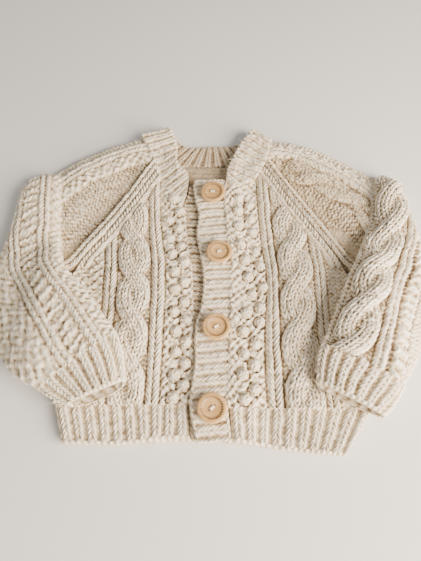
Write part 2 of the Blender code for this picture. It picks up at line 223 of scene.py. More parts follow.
def fitted(piece, node=None):
    # node is the CAD part whose place the piece takes.
    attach(piece, "root")
    if node:
        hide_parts(node)
    return piece


def newPiece(name, mesh, material, node=None):
    mesh.materials.append(material)
    return fitted(linked(name, mesh), node)


# Materials

def linear(code):
    # An sRGB hex colour as linear values.
    values = [int(code[i:i + 2], 16) / 255 for i in (1, 3, 5)]
    return tuple(v / 12.92 if v <= 0.04045 else ((v + 0.055) / 1.055) ** 2.4 for v in values) + (1.0,)


def addNode(tree, kind, inputs=None, stops=(), **settings):
    # An input is named or numbered. A socket is linked to it, and anything else becomes its value.
    node = tree.nodes.new(kind)
    for key, value in settings.items():
        setattr(node, key, value)
    for key, value in (inputs or {}).items():
        if isinstance(value, bpy.types.NodeSocket):
            tree.links.new(value, node.inputs[key])
        else:
            node.inputs[key].default_value = value
    for index, (position, colour) in enumerate(stops):
        points = node.color_ramp.elements
        point = points[index] if index < 2 else points.new(position)
        point.position = position
        point.color = linear(colour)
    return node


def newMaterial(name, **values):
    # A material, its tree, its shader, and the place on the object.
    made = bpy.data.materials.new(name)
    made.use_nodes = True
    tree = made.node_tree
    shader = tree.nodes["Principled BSDF"]
    for key, value in values.items():
        shader.inputs[key.replace("_", " ")].default_value = value
    place = addNode(tree, "ShaderNodeTexCoord").outputs["Object"]
    return made, tree, shader, place


wool = {
    # painted shade: crevice, gap and middle are the cream darkened by the depth between the stitches
    "crevice": "#75604A",
    "gap": "#B59D7B",
    "middle": "#DDCBAB",
    "crest": "#F9EEDA",
    "bloom": "#FFF6E8",
    "ply": 1.5,          # mm between the turns of the plied yarn; finer in real yarn
    "mottle": 5.0,       # mm, the size of the uneven patches in the fleece
    "fleece": 0.9,       # mm, the size of the loose hairs' mottling
    "fleck": 1.9,        # mm, the length of the lighter and darker tufts in the spinning
    "oneBand": 0.31416,  # the wave texture's scale for one band a millimetre
}


def plainWool(name):
    # Cream sheep's wool, plied and hand knitted: matt, with a soft bloom of loose hairs.
    # Its colour is painted shade on the cavity: darker and warmer between the stitches,
    # where light has passed through the yarn, and the cream itself on the crests.
    made, tree, shader, place = newMaterial(
        name, Roughness=0.92, Specular_IOR_Level=0.22, Sheen_Weight=0.32, Sheen_Roughness=0.45,
        Sheen_Tint=linear(wool["bloom"]))
    noises = []
    for size, detail, rough in (("mottle", 3.0, 0.5), ("fleece", 4.0, 0.65), ("fleck", 2.0, 0.5)):
        noise = addNode(tree, "ShaderNodeTexNoise", {
            "Vector": place, "Scale": 1000 / wool[size], "Detail": detail, "Roughness": rough})
        noises.append(noise.outputs["Fac"])
    mottle, fleece, flecks = noises
    depth = addNode(tree, "ShaderNodeAttribute", attribute_name="cavity").outputs["Fac"]
    shift = addNode(tree, "ShaderNodeMath", {0: mottle, 1: 0.4, 2: -0.2}, operation="MULTIPLY_ADD")
    patchy = addNode(tree, "ShaderNodeMath", {0: flecks, 1: 0.5, 2: shift.outputs[0]},
                     operation="MULTIPLY_ADD")
    level = addNode(tree, "ShaderNodeMath", {0: patchy.outputs[0], 1: 0.25}, operation="SUBTRACT")
    total = addNode(tree, "ShaderNodeMath", {0: depth, 1: level.outputs[0]}, operation="ADD")
    # painted shade: the lower the cavity, the darker and browner the colour
    tone = addNode(tree, "ShaderNodeValToRGB", {"Fac": total.outputs[0]}, stops=(
        (0.0, wool["crevice"]), (0.8, wool["crest"]), (0.22, wool["gap"]), (0.46, wool["middle"])))
    tree.links.new(tone.outputs["Color"], shader.inputs["Base Color"])
    weave = addNode(tree, "ShaderNodeUVMap", uv_map="weave").outputs["UV"]
    plies = addNode(tree, "ShaderNodeTexWave", {
        "Vector": weave, "Scale": wool["oneBand"] * 2 / wool["ply"], "Distortion": 2.2, "Detail": 2.0,
        "Detail Scale": 1.2}, bands_direction="DIAGONAL")
    plied = addNode(tree, "ShaderNodeBump", {
        "Height": plies.outputs["Fac"], "Strength": 0.35, "Distance": 0.0004})
    hairy = addNode(tree, "ShaderNodeBump", {
        "Height": fleece, "Normal": plied.outputs["Normal"], "Strength": 0.55, "Distance": 0.0006})
    tree.links.new(hairy.outputs["Normal"], shader.inputs["Normal"])
    return made


timber = {
    "pale": "#D8B277",
    "grain": "#BC8A4E",
    "scorch": "#5A3A1E",
    "ringAt": 0.70,      # share of the radius where the burnt ring of marks runs
    "ringHalf": 0.05,
    "toastedHalf": 0.11,
    "toasted": 0.26,
    "marks": 26,
    "grainWidth": 1.1,   # mm
}


def turnedWood():
    # Beech or a like pale wood, turned, sanded and waxed: fine straight grain, a satin face,
    # and a ring of small marks that a hot tool has browned.
    made, tree, shader, place = newMaterial(
        "turned waxed beech", Roughness=0.42, IOR=1.5, Coat_Weight=0.12, Coat_Roughness=0.3)
    stretch = addNode(tree, "ShaderNodeMapping", {
        "Vector": place, "Scale": (0.16, 1.0, 1.0), "Rotation": (0.0, 0.0, 0.35)})
    grain = addNode(tree, "ShaderNodeTexNoise", {
        "Vector": stretch.outputs["Vector"], "Scale": 1000 / timber["grainWidth"], "Detail": 5.0,
        "Roughness": 0.6}).outputs["Fac"]
    tone = addNode(tree, "ShaderNodeValToRGB", {"Fac": grain}, stops=(
        (0.34, timber["grain"]), (0.62, timber["pale"])))
    polar = addNode(tree, "ShaderNodeUVMap", uv_map="polar")
    split = addNode(tree, "ShaderNodeSeparateXYZ", {"Vector": polar.outputs["UV"]})
    turns = addNode(tree, "ShaderNodeMath", {0: split.outputs["X"], 1: 2 * math.pi * timber["marks"]},
                    operation="MULTIPLY")
    wave = addNode(tree, "ShaderNodeMath", {0: turns.outputs[0]}, operation="SINE")
    tick = addNode(tree, "ShaderNodeMath", {0: wave.outputs[0], 1: -0.1}, operation="GREATER_THAN")
    off = addNode(tree, "ShaderNodeMath", {0: split.outputs["Y"], 1: timber["ringAt"]}, operation="SUBTRACT")
    size = addNode(tree, "ShaderNodeMath", {0: off.outputs[0]}, operation="ABSOLUTE").outputs[0]
    near = addNode(tree, "ShaderNodeMath", {0: size, 1: timber["ringHalf"]}, operation="LESS_THAN")
    burnt = addNode(tree, "ShaderNodeMath", {0: tick.outputs[0], 1: near.outputs[0]}, operation="MULTIPLY")
    worn = addNode(tree, "ShaderNodeMath", {0: grain, 1: 0.8, 2: 0.3}, operation="MULTIPLY_ADD")
    # a browner band round the ring of marks, on the slope up to the rim
    toasted = addNode(tree, "ShaderNodeMath", {0: size, 1: timber["toastedHalf"]}, operation="LESS_THAN")
    warm = addNode(tree, "ShaderNodeMath", {0: toasted.outputs[0], 1: timber["toasted"]},
                   operation="MULTIPLY")
    strength = addNode(tree, "ShaderNodeMath", {0: burnt.outputs[0], 1: worn.outputs[0], 2: warm.outputs[0]},
                       operation="MULTIPLY_ADD").outputs[0]
    colour = addNode(tree, "ShaderNodeMix", {
        "Factor": strength, 6: tone.outputs["Color"], 7: linear(timber["scorch"])}, data_type="RGBA")
    tree.links.new(colour.outputs[2], shader.inputs["Base Color"])
    fibre = addNode(tree, "ShaderNodeBump", {"Height": grain, "Strength": 0.18, "Distance": 0.0002})
    tree.links.new(fibre.outputs["Normal"], shader.inputs["Normal"])
    return made


# Stitches. Every function takes places in the knitting in millimetres, across the columns of
# stitches and along them, and gives the height of the yarn, 0 in the deepest gap and about 1 on top.

gauge = {
    "wale": 4.4,         # mm, a column of knit stitches
    "course": 3.5,       # mm, a row
    "slope": 1.7,        # how steeply the two legs of a stitch rise
}


def strandBead(phase):
    # The top of a stitch's leg along the yarn: it comes up steeply and tucks under the next one.
    p = phase - np.floor(phase)
    return np.sin(np.pi * p**0.8) ** 1.1


def chance(a, b):
    # A value between 0 and 1 for each pair of whole numbers.
    wave = np.sin(a * 12.9898 + b * 78.233 + 3.1) * 43758.5453
    return wave - np.floor(wave)


def knitColumn(across, along, half=gauge["wale"] / 2, course=gauge["course"], which=0.0):
    # One column of V-shaped stitches, |across| up to half. No two stitches are quite alike.
    a = np.clip(np.abs(across) / half, 0.0, 0.999)
    leg = np.where(a < 0.5, 0.22 + 0.78 * np.sin(np.pi * a), np.sin(np.pi * a))
    phase = (along - gauge["slope"] * np.abs(across)) / course
    plump = 0.74 + 0.4 * chance(np.floor(phase), which + (across > 0))
    return leg**0.7 * (0.12 + 0.88 * strandBead(phase)) * plump


def doubleRib(off, along, course=3.7):
    # A raised rib whose stitches lean outwards from a groove down its middle.
    crest = np.sqrt(np.clip(1.0 - (off / 5.5) ** 2, 0.0, 1.0))
    groove = 0.7 * hump(off, 0.8)
    return 0.2 + crest**0.8 * (0.8 + 2.3 * knitColumn(off, along, 4.9, course)) - groove


def knitColumns(across, along, wale=gauge["wale"], course=gauge["course"]):
    # Columns side by side; across is 0 on a border between two.
    t = across / wale
    return knitColumn((t - np.floor(t) - 0.5) * wale, along, wale / 2, course, 5.0 * np.floor(t))


def purlField(across, along, wale=gauge["wale"], course=gauge["course"]):
    # Reverse side of plain knitting: low interlocked waves.
    swing = 0.22 * np.cos(2 * np.pi * across / wale)
    wave = 0.5 + 0.5 * np.cos(2 * np.pi * (along / course + swing))
    grain = 0.5 + 0.5 * np.cos(2 * np.pi * (across / wale + 0.25) * 2)
    return wave * (0.75 + 0.25 * grain)


def mossField(across, along, wale, course):
    # Small knots in a chequered order.
    u = across + 1.9 * softNoise(across, along, 7.0, 81)
    v = along + 1.9 * softNoise(across, along, 6.5, 82)
    a = np.cos(np.pi * u / wale)
    b = np.cos(np.pi * v / course)
    cell = np.sin(np.round(u / wale) * 12.99 + np.round(v / course) * 78.23) * 43758.5
    size = 0.55 + 0.45 * (cell - np.floor(cell))
    knot = np.clip(0.50 + 0.62 * a * b * size, 0.0, 1.0)
    tuft = 0.5 + 0.5 * softNoise(across + 0.6 * along, along, 2.1, 84)
    worn = 0.85 + 0.3 * softNoise(across, along, 12.0, 83)
    return knot**0.8 * worn * (0.72 + 0.45 * tuft)


def ribField(across, along, pitch, share, course):
    # One knit column and one sunken purl column in each pitch.
    t = across / pitch
    off = (t - np.floor(t) - 0.5) * pitch
    half = share * pitch / 2
    body = np.sqrt(np.clip(1.0 - (off / half) ** 2, 0.0, 1.0)) ** 0.7
    column = body * (0.34 + 0.72 * knitColumn(off, along, half * 1.04, course, 5.0 * np.floor(t)))
    ladder = (0.16 + 0.10 * strandBead(along / course + 0.3)) * (1 - body)
    return column + ladder


def ropeCable(across, along, half, period, lean, start):
    # Two strands of three columns that cross once in each period. lean is +1 where the strand
    # on top runs towards -across as along grows. Height in mm.
    best = 0.6 * purlField(across, along)
    for k in (0, 1):
        turn = np.pi * ((along - start) / period + k)
        place = np.cos(turn) * half * 0.5
        slope = -np.sin(turn) * half * 0.5 * np.pi / period
        over = np.sin(turn) * lean
        width = half * 0.58
        off = (across - place) / np.sqrt(1.0 + slope**2)
        strand = np.sqrt(np.clip(1.0 - (off / width) ** 2, 0.0, 1.0))
        third = 2 * width / 3
        stitch = knitColumns(off + 1.5 * third, along + slope * (across - place), third, 3.5)
        height = 1.1 * over + 3.3 * strand + 2.0 * (stitch - 0.45) * strand**0.5
        best = np.maximum(best, np.where(strand > 0, height, 0.0))
    return best


def window(value, low, high, soft=1.2):
    return ease((value - low) / soft + 0.5) * ease((high - value) / soft + 0.5)


def edgeRound(distance, radius):
    t = np.clip(distance / radius, 0.0, 1.0)
    return np.sqrt(np.clip(1.0 - (1.0 - t) ** 2, 0.0, 1.0))


def boxBlur(field, reach, axis, wrapped):
    # The mean of the cells up to reach away along one axis.
    pad = [(0, 0), (0, 0)]
    pad[axis] = (reach + 1, reach)
    wide = np.pad(field, pad, mode="wrap" if wrapped else "edge")
    total = np.cumsum(wide, axis=axis)
    size = field.shape[axis]
    high = np.take(total, np.arange(2 * reach + 1, 2 * reach + 1 + size), axis=axis)
    low = np.take(total, np.arange(0, size), axis=axis)
    return (high - low) / (2 * reach + 1)


cavities = {"level": 0.55, "wide": 3.6, "near": 2.1}  # mm of height that fill the range


def cavityOf(relief, reach=5, wrapped=False):
    # How deep each point lies between the stitches round it: 0 in a gap, 1 on a crest.
    wide = relief
    for _ in range(2):
        wide = boxBlur(boxBlur(wide, reach, 0, False), reach, 1, wrapped)
    near = boxBlur(boxBlur(relief, 2, 0, False), 2, 1, wrapped)
    depth = (relief - wide) / cavities["wide"] + (relief - near) / cavities["near"]
    return np.clip(cavities["level"] + depth, 0.0, 1.0)


def knitUneven(x, y, seed):
    # Hand knitting is never quite regular: the columns sway and the rows vary a little.
    sway = 0.45 * softNoise(x, y, 17.0, seed) + 0.2 * softNoise(x, y, 6.0, seed + 1)
    pull = 0.8 * softNoise(x, y, 13.0, seed + 2) + 0.35 * softNoise(x, y, 5.0, seed + 3)
    return sway, pull


# The body's outline and the heights of its layers, which the sleeves rest on

body = {
    # the back, a row for each height: y, right side x, left side x
    "rows": ((-108.5, -106.0, 108.0), (-92.0, -110.0, 112.0), (-60.0, -111.5, 113.0),
             (-25.0, -108.5, 109.5), (-1.0, -103.8, 103.2), (30.0, -83.5, 85.8),
             (60.0, -66.0, 68.2), (80.0, -55.2, 57.4), (100.2, -44.2, 46.8)),
    "frontWall": 4.4,
    "bandWall": 3.8,
    "blend": 26.0,       # width over which the left front comes down from its raised band
    "puff": 2.6,         # how far the cloth of each front stands up in its middle
    "puffAt": ((-62.0, -48.0), (63.0, -48.0)),
    "puffReach": (48.0, 70.0),
    "sideHold": 6.0,
    "sideFall": 16.0,
    "armClear": 1.1,
    # from x, y to x, y, half width, height in mm; a trough where it is below 0
    "creases": ((-99.0, -8.0, -74.0, -44.0, 7.0, -1.5), (-72.0, -18.0, -60.0, -62.0, 12.0, 0.9),
                (-54.0, -94.0, -47.0, -107.0, 5.5, 1.7), (-63.0, -88.0, -60.0, -108.0, 3.6, -1.5),
                (-36.0, -98.0, -31.0, -108.0, 5.0, 1.1), (-74.0, -96.0, -71.0, -108.0, 5.0, 0.9),
                (-47.0, 52.0, -33.0, 20.0, 9.0, -0.9), (-66.0, 40.0, -50.0, 62.0, 6.0, 0.9),
                (96.0, -6.0, 82.0, -50.0, 9.0, -2.2), (77.0, -60.0, 73.0, -94.0, 7.0, -2.1),
                (57.0, -98.0, 66.0, -110.0, 6.0, 1.9), (74.0, -100.0, 84.0, -110.0, 5.0, 1.5),
                (46.0, -96.0, 48.0, -110.0, 4.0, -1.1), (52.0, 44.0, 44.0, 8.0, 10.0, -0.8),
                (60.0, 10.0, 66.0, -28.0, 10.0, 1.1), (27.0, 66.0, 40.0, 72.0, 7.0, -0.7)),
}
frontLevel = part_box("right_front")[0].z / mm
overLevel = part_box("buttonhole_band")[0].z / mm
sideLine = onCurve(body["rows"], np.linspace(0, len(body["rows"]) - 1, 400))


def sideAt(x, y):
    right = np.interp(y, sideLine[:, 0], sideLine[:, 1])
    left = np.interp(y, sideLine[:, 0], sideLine[:, 2])
    return np.where(np.asarray(x) < 0, right, left)


def frontUnder(x, y):
    placeX = np.where(x < 0, body["puffAt"][0][0], body["puffAt"][1][0])
    a = (x - placeX) / body["puffReach"][0]
    b = (y - body["puffAt"][0][1]) / body["puffReach"][1]
    swell = body["puff"] * np.clip(1.0 - a * a - b * b, 0.0, 1.0) ** 1.5
    lift = np.where(x > 0, (overLevel - frontLevel) * (1.0 - ease((x - 15.0) / body["blend"])), 0.0)
    return frontLevel + lift + swell


def softCreases(x, y, creases):
    total = 0.0 * x
    for startX, startY, endX, endY, reach, height in creases:
        along = np.array((endX - startX, endY - startY))
        t = ((x - startX) * along[0] + (y - startY) * along[1]) / (along @ along)
        t = np.clip(t, 0.0, 1.0)
        away = np.hypot(x - startX - t * along[0], y - startY - t * along[1])
        total = total + height * hump(away, reach)
    return total


def frontSwell(x, y):
    # The soft creases and swellings of each front.
    return 0.5 * softNoise(x, y, 30.0, 8) + softCreases(x, y, body["creases"])


def restHeight(x, y, fall):
    outside = np.abs(x) - np.abs(sideAt(x, y)) - body["sideHold"]
    onBody = frontUnder(x, y) + body["frontWall"] + body["armClear"]
    return onBody * (1.0 - ease(outside / fall))


# Flat pieces

def flatShell(name, first, last, under, wall, pattern, material, columns, rounded, node=None, step=4):
    # A sheet between two edges, given as lines of (x, y); pattern gives relief, cavity and weave.
    # rounded holds the radii of the first and last edge and of the two ends.
    share = np.linspace(0, 1, columns)[None, :, None]
    xy = blend(first[:, None, :], last[:, None, :], share)
    x = xy[:, :, 0]
    y = xy[:, :, 1]
    width = np.linalg.norm(last - first, axis=1)[:, None]
    run = runAlong((first + last) / 2)[:, None]
    fromFirst = share[:, :, 0] * width
    fromLast = width - fromFirst
    radiusFirst, radiusLast, radiusStart, radiusEnd = rounded
    rise = edgeRound(fromFirst + 0.15, radiusFirst) * edgeRound(fromLast + 0.15, radiusLast)
    rise = rise * edgeRound(run + 0.15, radiusStart) * edgeRound(run[-1] - run + 0.15, radiusEnd)
    relief, cavity, weave = pattern(x, y, fromFirst, fromLast, run + 0 * x)
    floor = under(x, y)
    top = floor + 0.35 + (wall - 0.35 + relief) * (0.25 + 0.75 * rise)
    outer = np.stack((x, y, top), axis=-1)
    low = np.stack((x, y, floor), axis=-1)[::step, ::step]
    mesh = shellMesh(name + "_knit", outer, low, step, cavity, weave)
    return newPiece(name + "_knit", mesh, material, node or name)


fronts = {
    "right": {
        "side": -1,
        # y, inner edge x
        "rows": ((-108.9, -15.0), (-92, -14.2), (-80, -13.8), (-50, -14.5), (-18, -15.5), (0, -17.0),
                 (14, -20.0), (43, -22.8), (53, -24.4), (60, -29.4), (70, -37.2), (80, -43.2),
                 (88, -46.4), (91.5, -48.2)),
        # how far the columns sway outwards: y, mm beside the bobbles, mm at the cable
        "sway": ((-108, 0.6, 0.0), (-70, 0.0, 0.0), (-30, 0.0, 0.5), (0, 1.2, 2.0), (20, 4.5, 4.5),
                 (40, 7.0, 6.5), (70, 11.0, 8.0)),
        "bobbles": ((-31.0, 60.3), (-25.7, 47.6), (-34.2, 39.6), (-25.9, 31.8), (-33.1, 22.5), (-23.6, 15.0),
                    (-30.4, 7.7), (-20.6, -0.3), (-28.1, -8.1), (-19.9, -17.3), (-27.1, -24.0),
                    (-19.5, -33.5), (-27.1, -41.6), (-18.0, -48.4), (-25.2, -56.8), (-17.6, -65.1),
                    (-24.8, -71.9), (-17.8, -80.5), (-25.3, -88.9), (-18.6, -96.0), (-25.6, -104.0)),
        "bobbleEdge": 33.5, "innerRib": 39.5, "cable": 57.6, "cableHalf": 12.6, "outerRib": 75.6,
        "beyond": 2.5, "lean": -1, "crossAt": 5.6, "period": 34.6, "seed": 3,
    },
    "left": {
        "side": 1,
        "rows": ((-111.4, 12.6), (-103, 13.0), (-93, 14.5), (-79, 15.0), (-64, 15.0), (-50, 15.4),
                 (-40, 16.0), (-18, 17.7), (0, 17.5), (24, 15.0), (43, 13.9), (54, 12.9), (67, 13.6),
                 (71, 24.4), (77, 35.0), (86, 42.4), (93, 46.2), (96.5, 47.6)),
        "sway": ((-108, -1.6, 0.0), (-90, -2.2, 0.0), (-62, -0.6, 0.0), (-44, 1.0, 0.5), (-22, 5.0, 1.5),
                 (-4, 4.6, 2.0), (12, 2.0, 1.0), (40, 0.0, 0.0), (70, 0.0, 0.0)),
        "bobbles": ((23.8, 60.0), (32.3, 53.4), (22.7, 46.7), (32.6, 39.6), (22.6, 31.8), (34.0, 26.8),
                    (23.4, 15.0), (35.7, 10.0), (26.9, 1.2), (38.5, -3.4), (28.8, -13.5), (39.9, -22.5),
                    (31.0, -28.5), (37.0, -39.3), (26.3, -43.5), (36.1, -50.5), (23.4, -58.1), (32.1, -66.7),
                    (23.3, -74.5), (30.5, -82.1), (22.2, -88.9), (30.0, -98.7), (23.0, -105.4)),
        "bobbleEdge": 39.0, "innerRib": 45.0, "cable": 64.4, "cableHalf": 13.4, "outerRib": 82.6,
        "beyond": 0.7, "lean": 1, "crossAt": -2.0, "period": 34.2, "seed": 11,
    },
    "columns": 173, "rowsDown": 357, "wall": 2.7, "rounded": (0.6, 1.5, 0.01, 0.3),
    "sewn": 1.8,         # mm by which each front reaches over its band
}


twinRib = {"half": 5.0, "groove": 5.6, "deep": 0.3}  # mm, from the rib's middle line


def layRib(relief, off, along, soft, wide, foot=0.0, gain=1.0, share=1.0):
    # A rib laid over the knitting, with a groove on each side.
    mask = window(off, -twinRib["half"], twinRib["half"], soft) * share
    relief = blend(relief, foot + gain * doubleRib(off, along), mask)
    return relief - twinRib["deep"] * hump(np.abs(off) - twinRib["groove"], wide)


def bobbleGround(relief, x, y, ground, knots):
    # Small stitches round the bobbles: a sling under each, a dip round it and holes beside it.
    nearest = np.full(x.shape, 99.0)
    below = np.zeros(x.shape)
    holes = np.zeros(x.shape)
    for index, (kx, ky) in enumerate(knots):
        away = np.hypot(x - kx, (y - ky) * 0.92)
        below = np.where(away < nearest, ease((ky + 2.0 - y) / 5.0), below)
        nearest = np.minimum(nearest, away)
        nextX = knots[min(index + 1, len(knots) - 1)][0]
        hx = kx + (4.9 if nextX > kx else -4.9)
        holes = np.maximum(holes, hump(x - hx, 1.0) * hump(y - ky + 2.2, 1.2))
        holes = np.maximum(holes, 0.7 * hump(x - kx - 1.0, 1.2) * hump(y - ky + 5.0, 0.8))
    twist = 0.55 + 0.45 * np.cos(2 * np.pi * (x - 0.8 * y) / 2.6)
    sling = 1.3 * hump(nearest - 6.5, 1.1) * below * twist
    return relief + ground * (sling - 0.8 * hump(nearest - 4.6, 0.9) - 2.2 * holes)


def frontPattern(facts):
    swayRows = np.array(facts["sway"])
    seed = facts["seed"]

    def pattern(x, y, fromInner, fromSide, run):
        sway, pull = knitUneven(x, y, seed)
        a = np.abs(x)
        beside = np.interp(y, swayRows[:, 0], swayRows[:, 1])
        atCable = np.interp(y, swayRows[:, 0], swayRows[:, 2])
        s = a - blend(beside, atCable, ease((a - 30.0) / 25.0)) + sway * 0.6
        v = y + pull
        ground = window(s, 8.0, facts["bobbleEdge"])
        relief = blend(0.75 * purlField(s, v), 2.3 * mossField(s + 1.0, v, 3.4, 3.2), ground)
        relief = bobbleGround(relief, x, y, ground, facts["bobbles"])
        for centre in (facts["innerRib"], facts["outerRib"]):
            relief = layRib(relief, s - centre, v, 1.3, 1.3)
        u = s - facts["cable"]
        half = facts["cableHalf"]
        rope = ropeCable(u * facts["side"], v, half, facts["period"], -facts["lean"], facts["crossAt"])
        relief = blend(relief, rope, window(u, -half, half, 1.4)) - 0.4 * hump(np.abs(u) - half - 0.7, 1.3)
        # moss beyond the outer rib
        moss = facts["beyond"] * mossField(s, v, 4.2, 3.9) + 0.7 * purlField(s, v)
        relief = blend(relief, moss, ease((s - facts["outerRib"] - 5.0) / 1.5))
        # two knit columns that run up beside the raglan seam
        raglan = ease((y + 6.0) / 6.0)
        d = fromSide * 0.86
        rib = doubleRib(d - 4.7 + 0.4 * sway, y / 0.86 + pull)
        relief = blend(relief, rib, window(d, 0.0, 9.4, 1.4) * raglan) - 0.5 * raglan * hump(d - 10.6, 1.6)
        relief = relief + 0.42 * softNoise(x, y, 3.4, seed + 6) + 0.38 * softNoise(s * 1.5, v, 1.8, seed + 7)
        cavity = cavityOf(relief)
        relief = np.maximum(relief + frontSwell(x, y), 0.9 - fronts["wall"])
        weave = np.stack((s, v - 1.5 * np.abs(s / 4.4 - np.round(s / 4.4)) * 4.4), axis=-1)
        return relief, cavity, weave

    return pattern


def makeFronts(material):
    made = {}
    for side in ("right", "left"):
        facts = fronts[side]
        rows, _ = evenRows([(y, x) for y, x in facts["rows"]], fronts["rowsDown"], upLine)
        y = rows[:, 0]
        inner = np.stack((rows[:, 1] - fronts["sewn"] * facts["side"], y), axis=1)
        outer = np.stack((sideAt(rows[:, 1], y), y), axis=1)
        made[side] = flatShell(side + "_front", inner, outer, frontUnder, fronts["wall"], frontPattern(facts),
                               material, fronts["columns"], fronts["rounded"])
    return made


hems = {
    # top x, top y, bottom x, bottom y, from one side to the other
    "right_front": ((-105.6, -108.6, -97.0, -133.4), (-62.0, -108.6, -58.0, -134.0),
                    (-30.0, -108.6, -29.0, -130.6), (-15.0, -108.6, -13.6, -130.4)),
    "left_front": ((12.6, -111.0, 14.2, -132.6), (34.0, -111.0, 32.0, -135.0),
                   (62.0, -111.0, 57.0, -138.4), (108.0, -111.0, 87.4, -140.8)),
    "back": ((-106.0, -108.7, -96.6, -132.6), (-62.0, -108.7, -58.0, -133.0), (-14.0, -108.7, -14.0, -131.5),
             (20.0, -108.7, 20.0, -133.0), (62.0, -108.7, 57.0, -137.0), (108.0, -108.7, 88.0, -139.6)),
    "pitch": 8.8,
    "edge": 2.4,         # mm, the cast-on edge that rolls a little
    "wall": 2.2, "rounded": (0.01, 2.0, 1.6, 1.6),
}


def hemPattern(seed):
    def pattern(x, y, fromTop, fromEdge, run):
        sway, pull = knitUneven(x, y, seed)
        u = run + sway * 0.8 + 1.2 * softNoise(run, 0 * run, 40.0, seed + 4)
        relief = 2.5 * ribField(u, fromTop + pull * 0.5, hems["pitch"], 0.76, 3.4)
        cast = 1.5 + 0.4 * np.cos(2 * np.pi * run / 4.4 + 1.8 * np.sin(fromEdge * 1.2))
        relief = blend(relief, cast, window(fromEdge, -1.0, hems["edge"], 0.8))
        relief = relief + 0.5 * softNoise(x, y, 14.0, seed + 7) + 0.4 * softNoise(x, y, 3.0, seed + 8)
        return relief, cavityOf(relief), np.stack((u, fromTop + pull), axis=-1)

    return pattern


def onGround(x, y):
    return 0.0 * x


def makeHems(material):
    made = {}
    for name, count, columns, seed, under in (("right_front", 193, 49, 21, frontUnder),
                                              ("left_front", 201, 57, 23, frontUnder),
                                              ("back", 201, 25, 25, onGround)):
        rows, _ = evenRows(hems[name], count, midLine)
        made[name] = flatShell(name + "_hem", rows[:, 0:2], rows[:, 2:4], under, hems["wall"],
                               hemPattern(seed), material, columns, hems["rounded"], name + "_hem_rib")
    return made


back = {"columns": 113, "rowsDown": 105, "wall": 2.6, "rounded": (1.8, 1.8, 0.01, 0.6)}


def backPattern(x, y, fromRight, fromLeft, run):
    sway, pull = knitUneven(x, y, 31)
    relief = 1.0 * purlField(x + sway, y + pull, 4.4, 3.6) + 0.3 * softNoise(x, y, 20.0, 33)
    # a low colour base all over: painted shade, for the back where it shows inside the neck
    return relief, np.clip(0.16 + relief / 3.6, 0, 1), np.stack((x, y), axis=-1)


def makeBack(material):
    y = np.linspace(body["rows"][0][0] - 0.2, body["rows"][-1][0], back["rowsDown"])
    right = np.stack((sideAt(-1.0, y), y), axis=1)
    left = np.stack((sideAt(1.0, y), y), axis=1)
    return flatShell("back", right, left, onGround, back["wall"], backPattern, material, back["columns"],
                     back["rounded"])


bands = {
    # y, right edge x, left edge x
    "under": ((-131, -13.0, 9.0), (-110, -14.4, 9.6), (-92, -13.7, 10.4), (-80, -13.3, 10.6),
              (-50, -14.0, 10.6), (-18, -15.0, 10.6), (0, -16.5, 10.2), (14, -19.4, 9.8), (43, -22.3, 9.4),
              (52.4, -23.8, 9.0), (66, -19.8, 8.6), (76, -18.2, 8.4)),
    "over": ((-133.2, -9.0, 13.6), (-126, -11, 13.2), (-114, -13.6, 11.9), (-103, -14, 12.4),
             (-93, -12.6, 14), (-79, -11, 14.4), (-64, -11.6, 14.4), (-50, -10.4, 14.8), (-40, -7.4, 15.4),
             (-18, -5.6, 17.1), (0, -7.2, 16.9), (24, -11.2, 14.4), (43, -9.8, 13.3), (54, -12.4, 12.3),
             (72, -14.8, 12.6), (79.6, -13.5, 12.8)),
    "pitch": 8.1,
    "wall": 1.7, "rowsDown": 353, "columns": 49, "rounded": (1.6, 1.6, 1.6, 1.6),
    "slot": (5.0, 0.9),  # mm, half the length and half the height of a buttonhole
}


def bandPattern(seed, shade, slots):
    def pattern(x, y, fromRight, fromLeft, run):
        sway, pull = knitUneven(x, y, seed)
        u = y + 0.6 * sway + 1.0 * np.sin(x * 0.11 + seed)
        relief = 2.0 * ribField(u, x + pull, bands["pitch"], 0.82, 3.5)
        for d in (fromRight, fromLeft):
            chain = 1.5 + 0.45 * np.cos(2 * np.pi * y / 4.1 + 1.5 * d)
            relief = blend(relief, chain * 0.9, window(d, -1.0, 1.9, 0.7))
        relief = relief + 0.45 * softNoise(x, y, 16.0, seed + 5) + 0.4 * softNoise(x, y, 3.2, seed + 6)
        halfLong, halfHigh = bands["slot"]
        for bx, by, _, _ in slots:
            slot = window(x - bx, -halfLong, halfLong, 1.0) * window(y - by, -halfHigh, halfHigh, 0.8)
            relief = relief - 2.4 * slot
        # lowering the cavity here paints shade: the shadow of the over band on the under band
        cavity = np.clip(cavityOf(relief) - shade, 0.0, 1.0)
        return relief, cavity, np.stack((y + sway, x + pull), axis=-1)

    return pattern


def makeBands(material):
    made = {}
    # the fifth value darkens a band's colour: painted shade, 0.2 on the under band
    for name, node, level, seed, shade, slots in (
        ("under", "button_band", frontLevel, 45, 0.2, ()),
        ("over", "buttonhole_band", overLevel, 41, 0.0, buttons["rows"]),
    ):
        rows, _ = evenRows(bands[name], bands["rowsDown"], upLine)
        right = np.stack((rows[:, 1], rows[:, 0]), axis=1)
        left = np.stack((rows[:, 2], rows[:, 0]), axis=1)
        made[name] = flatShell(node, right, left, lambda x, y, level=level: level + 0.0 * x, bands["wall"],
                               bandPattern(seed, shade, slots), material, bands["columns"], bands["rounded"])
    return made


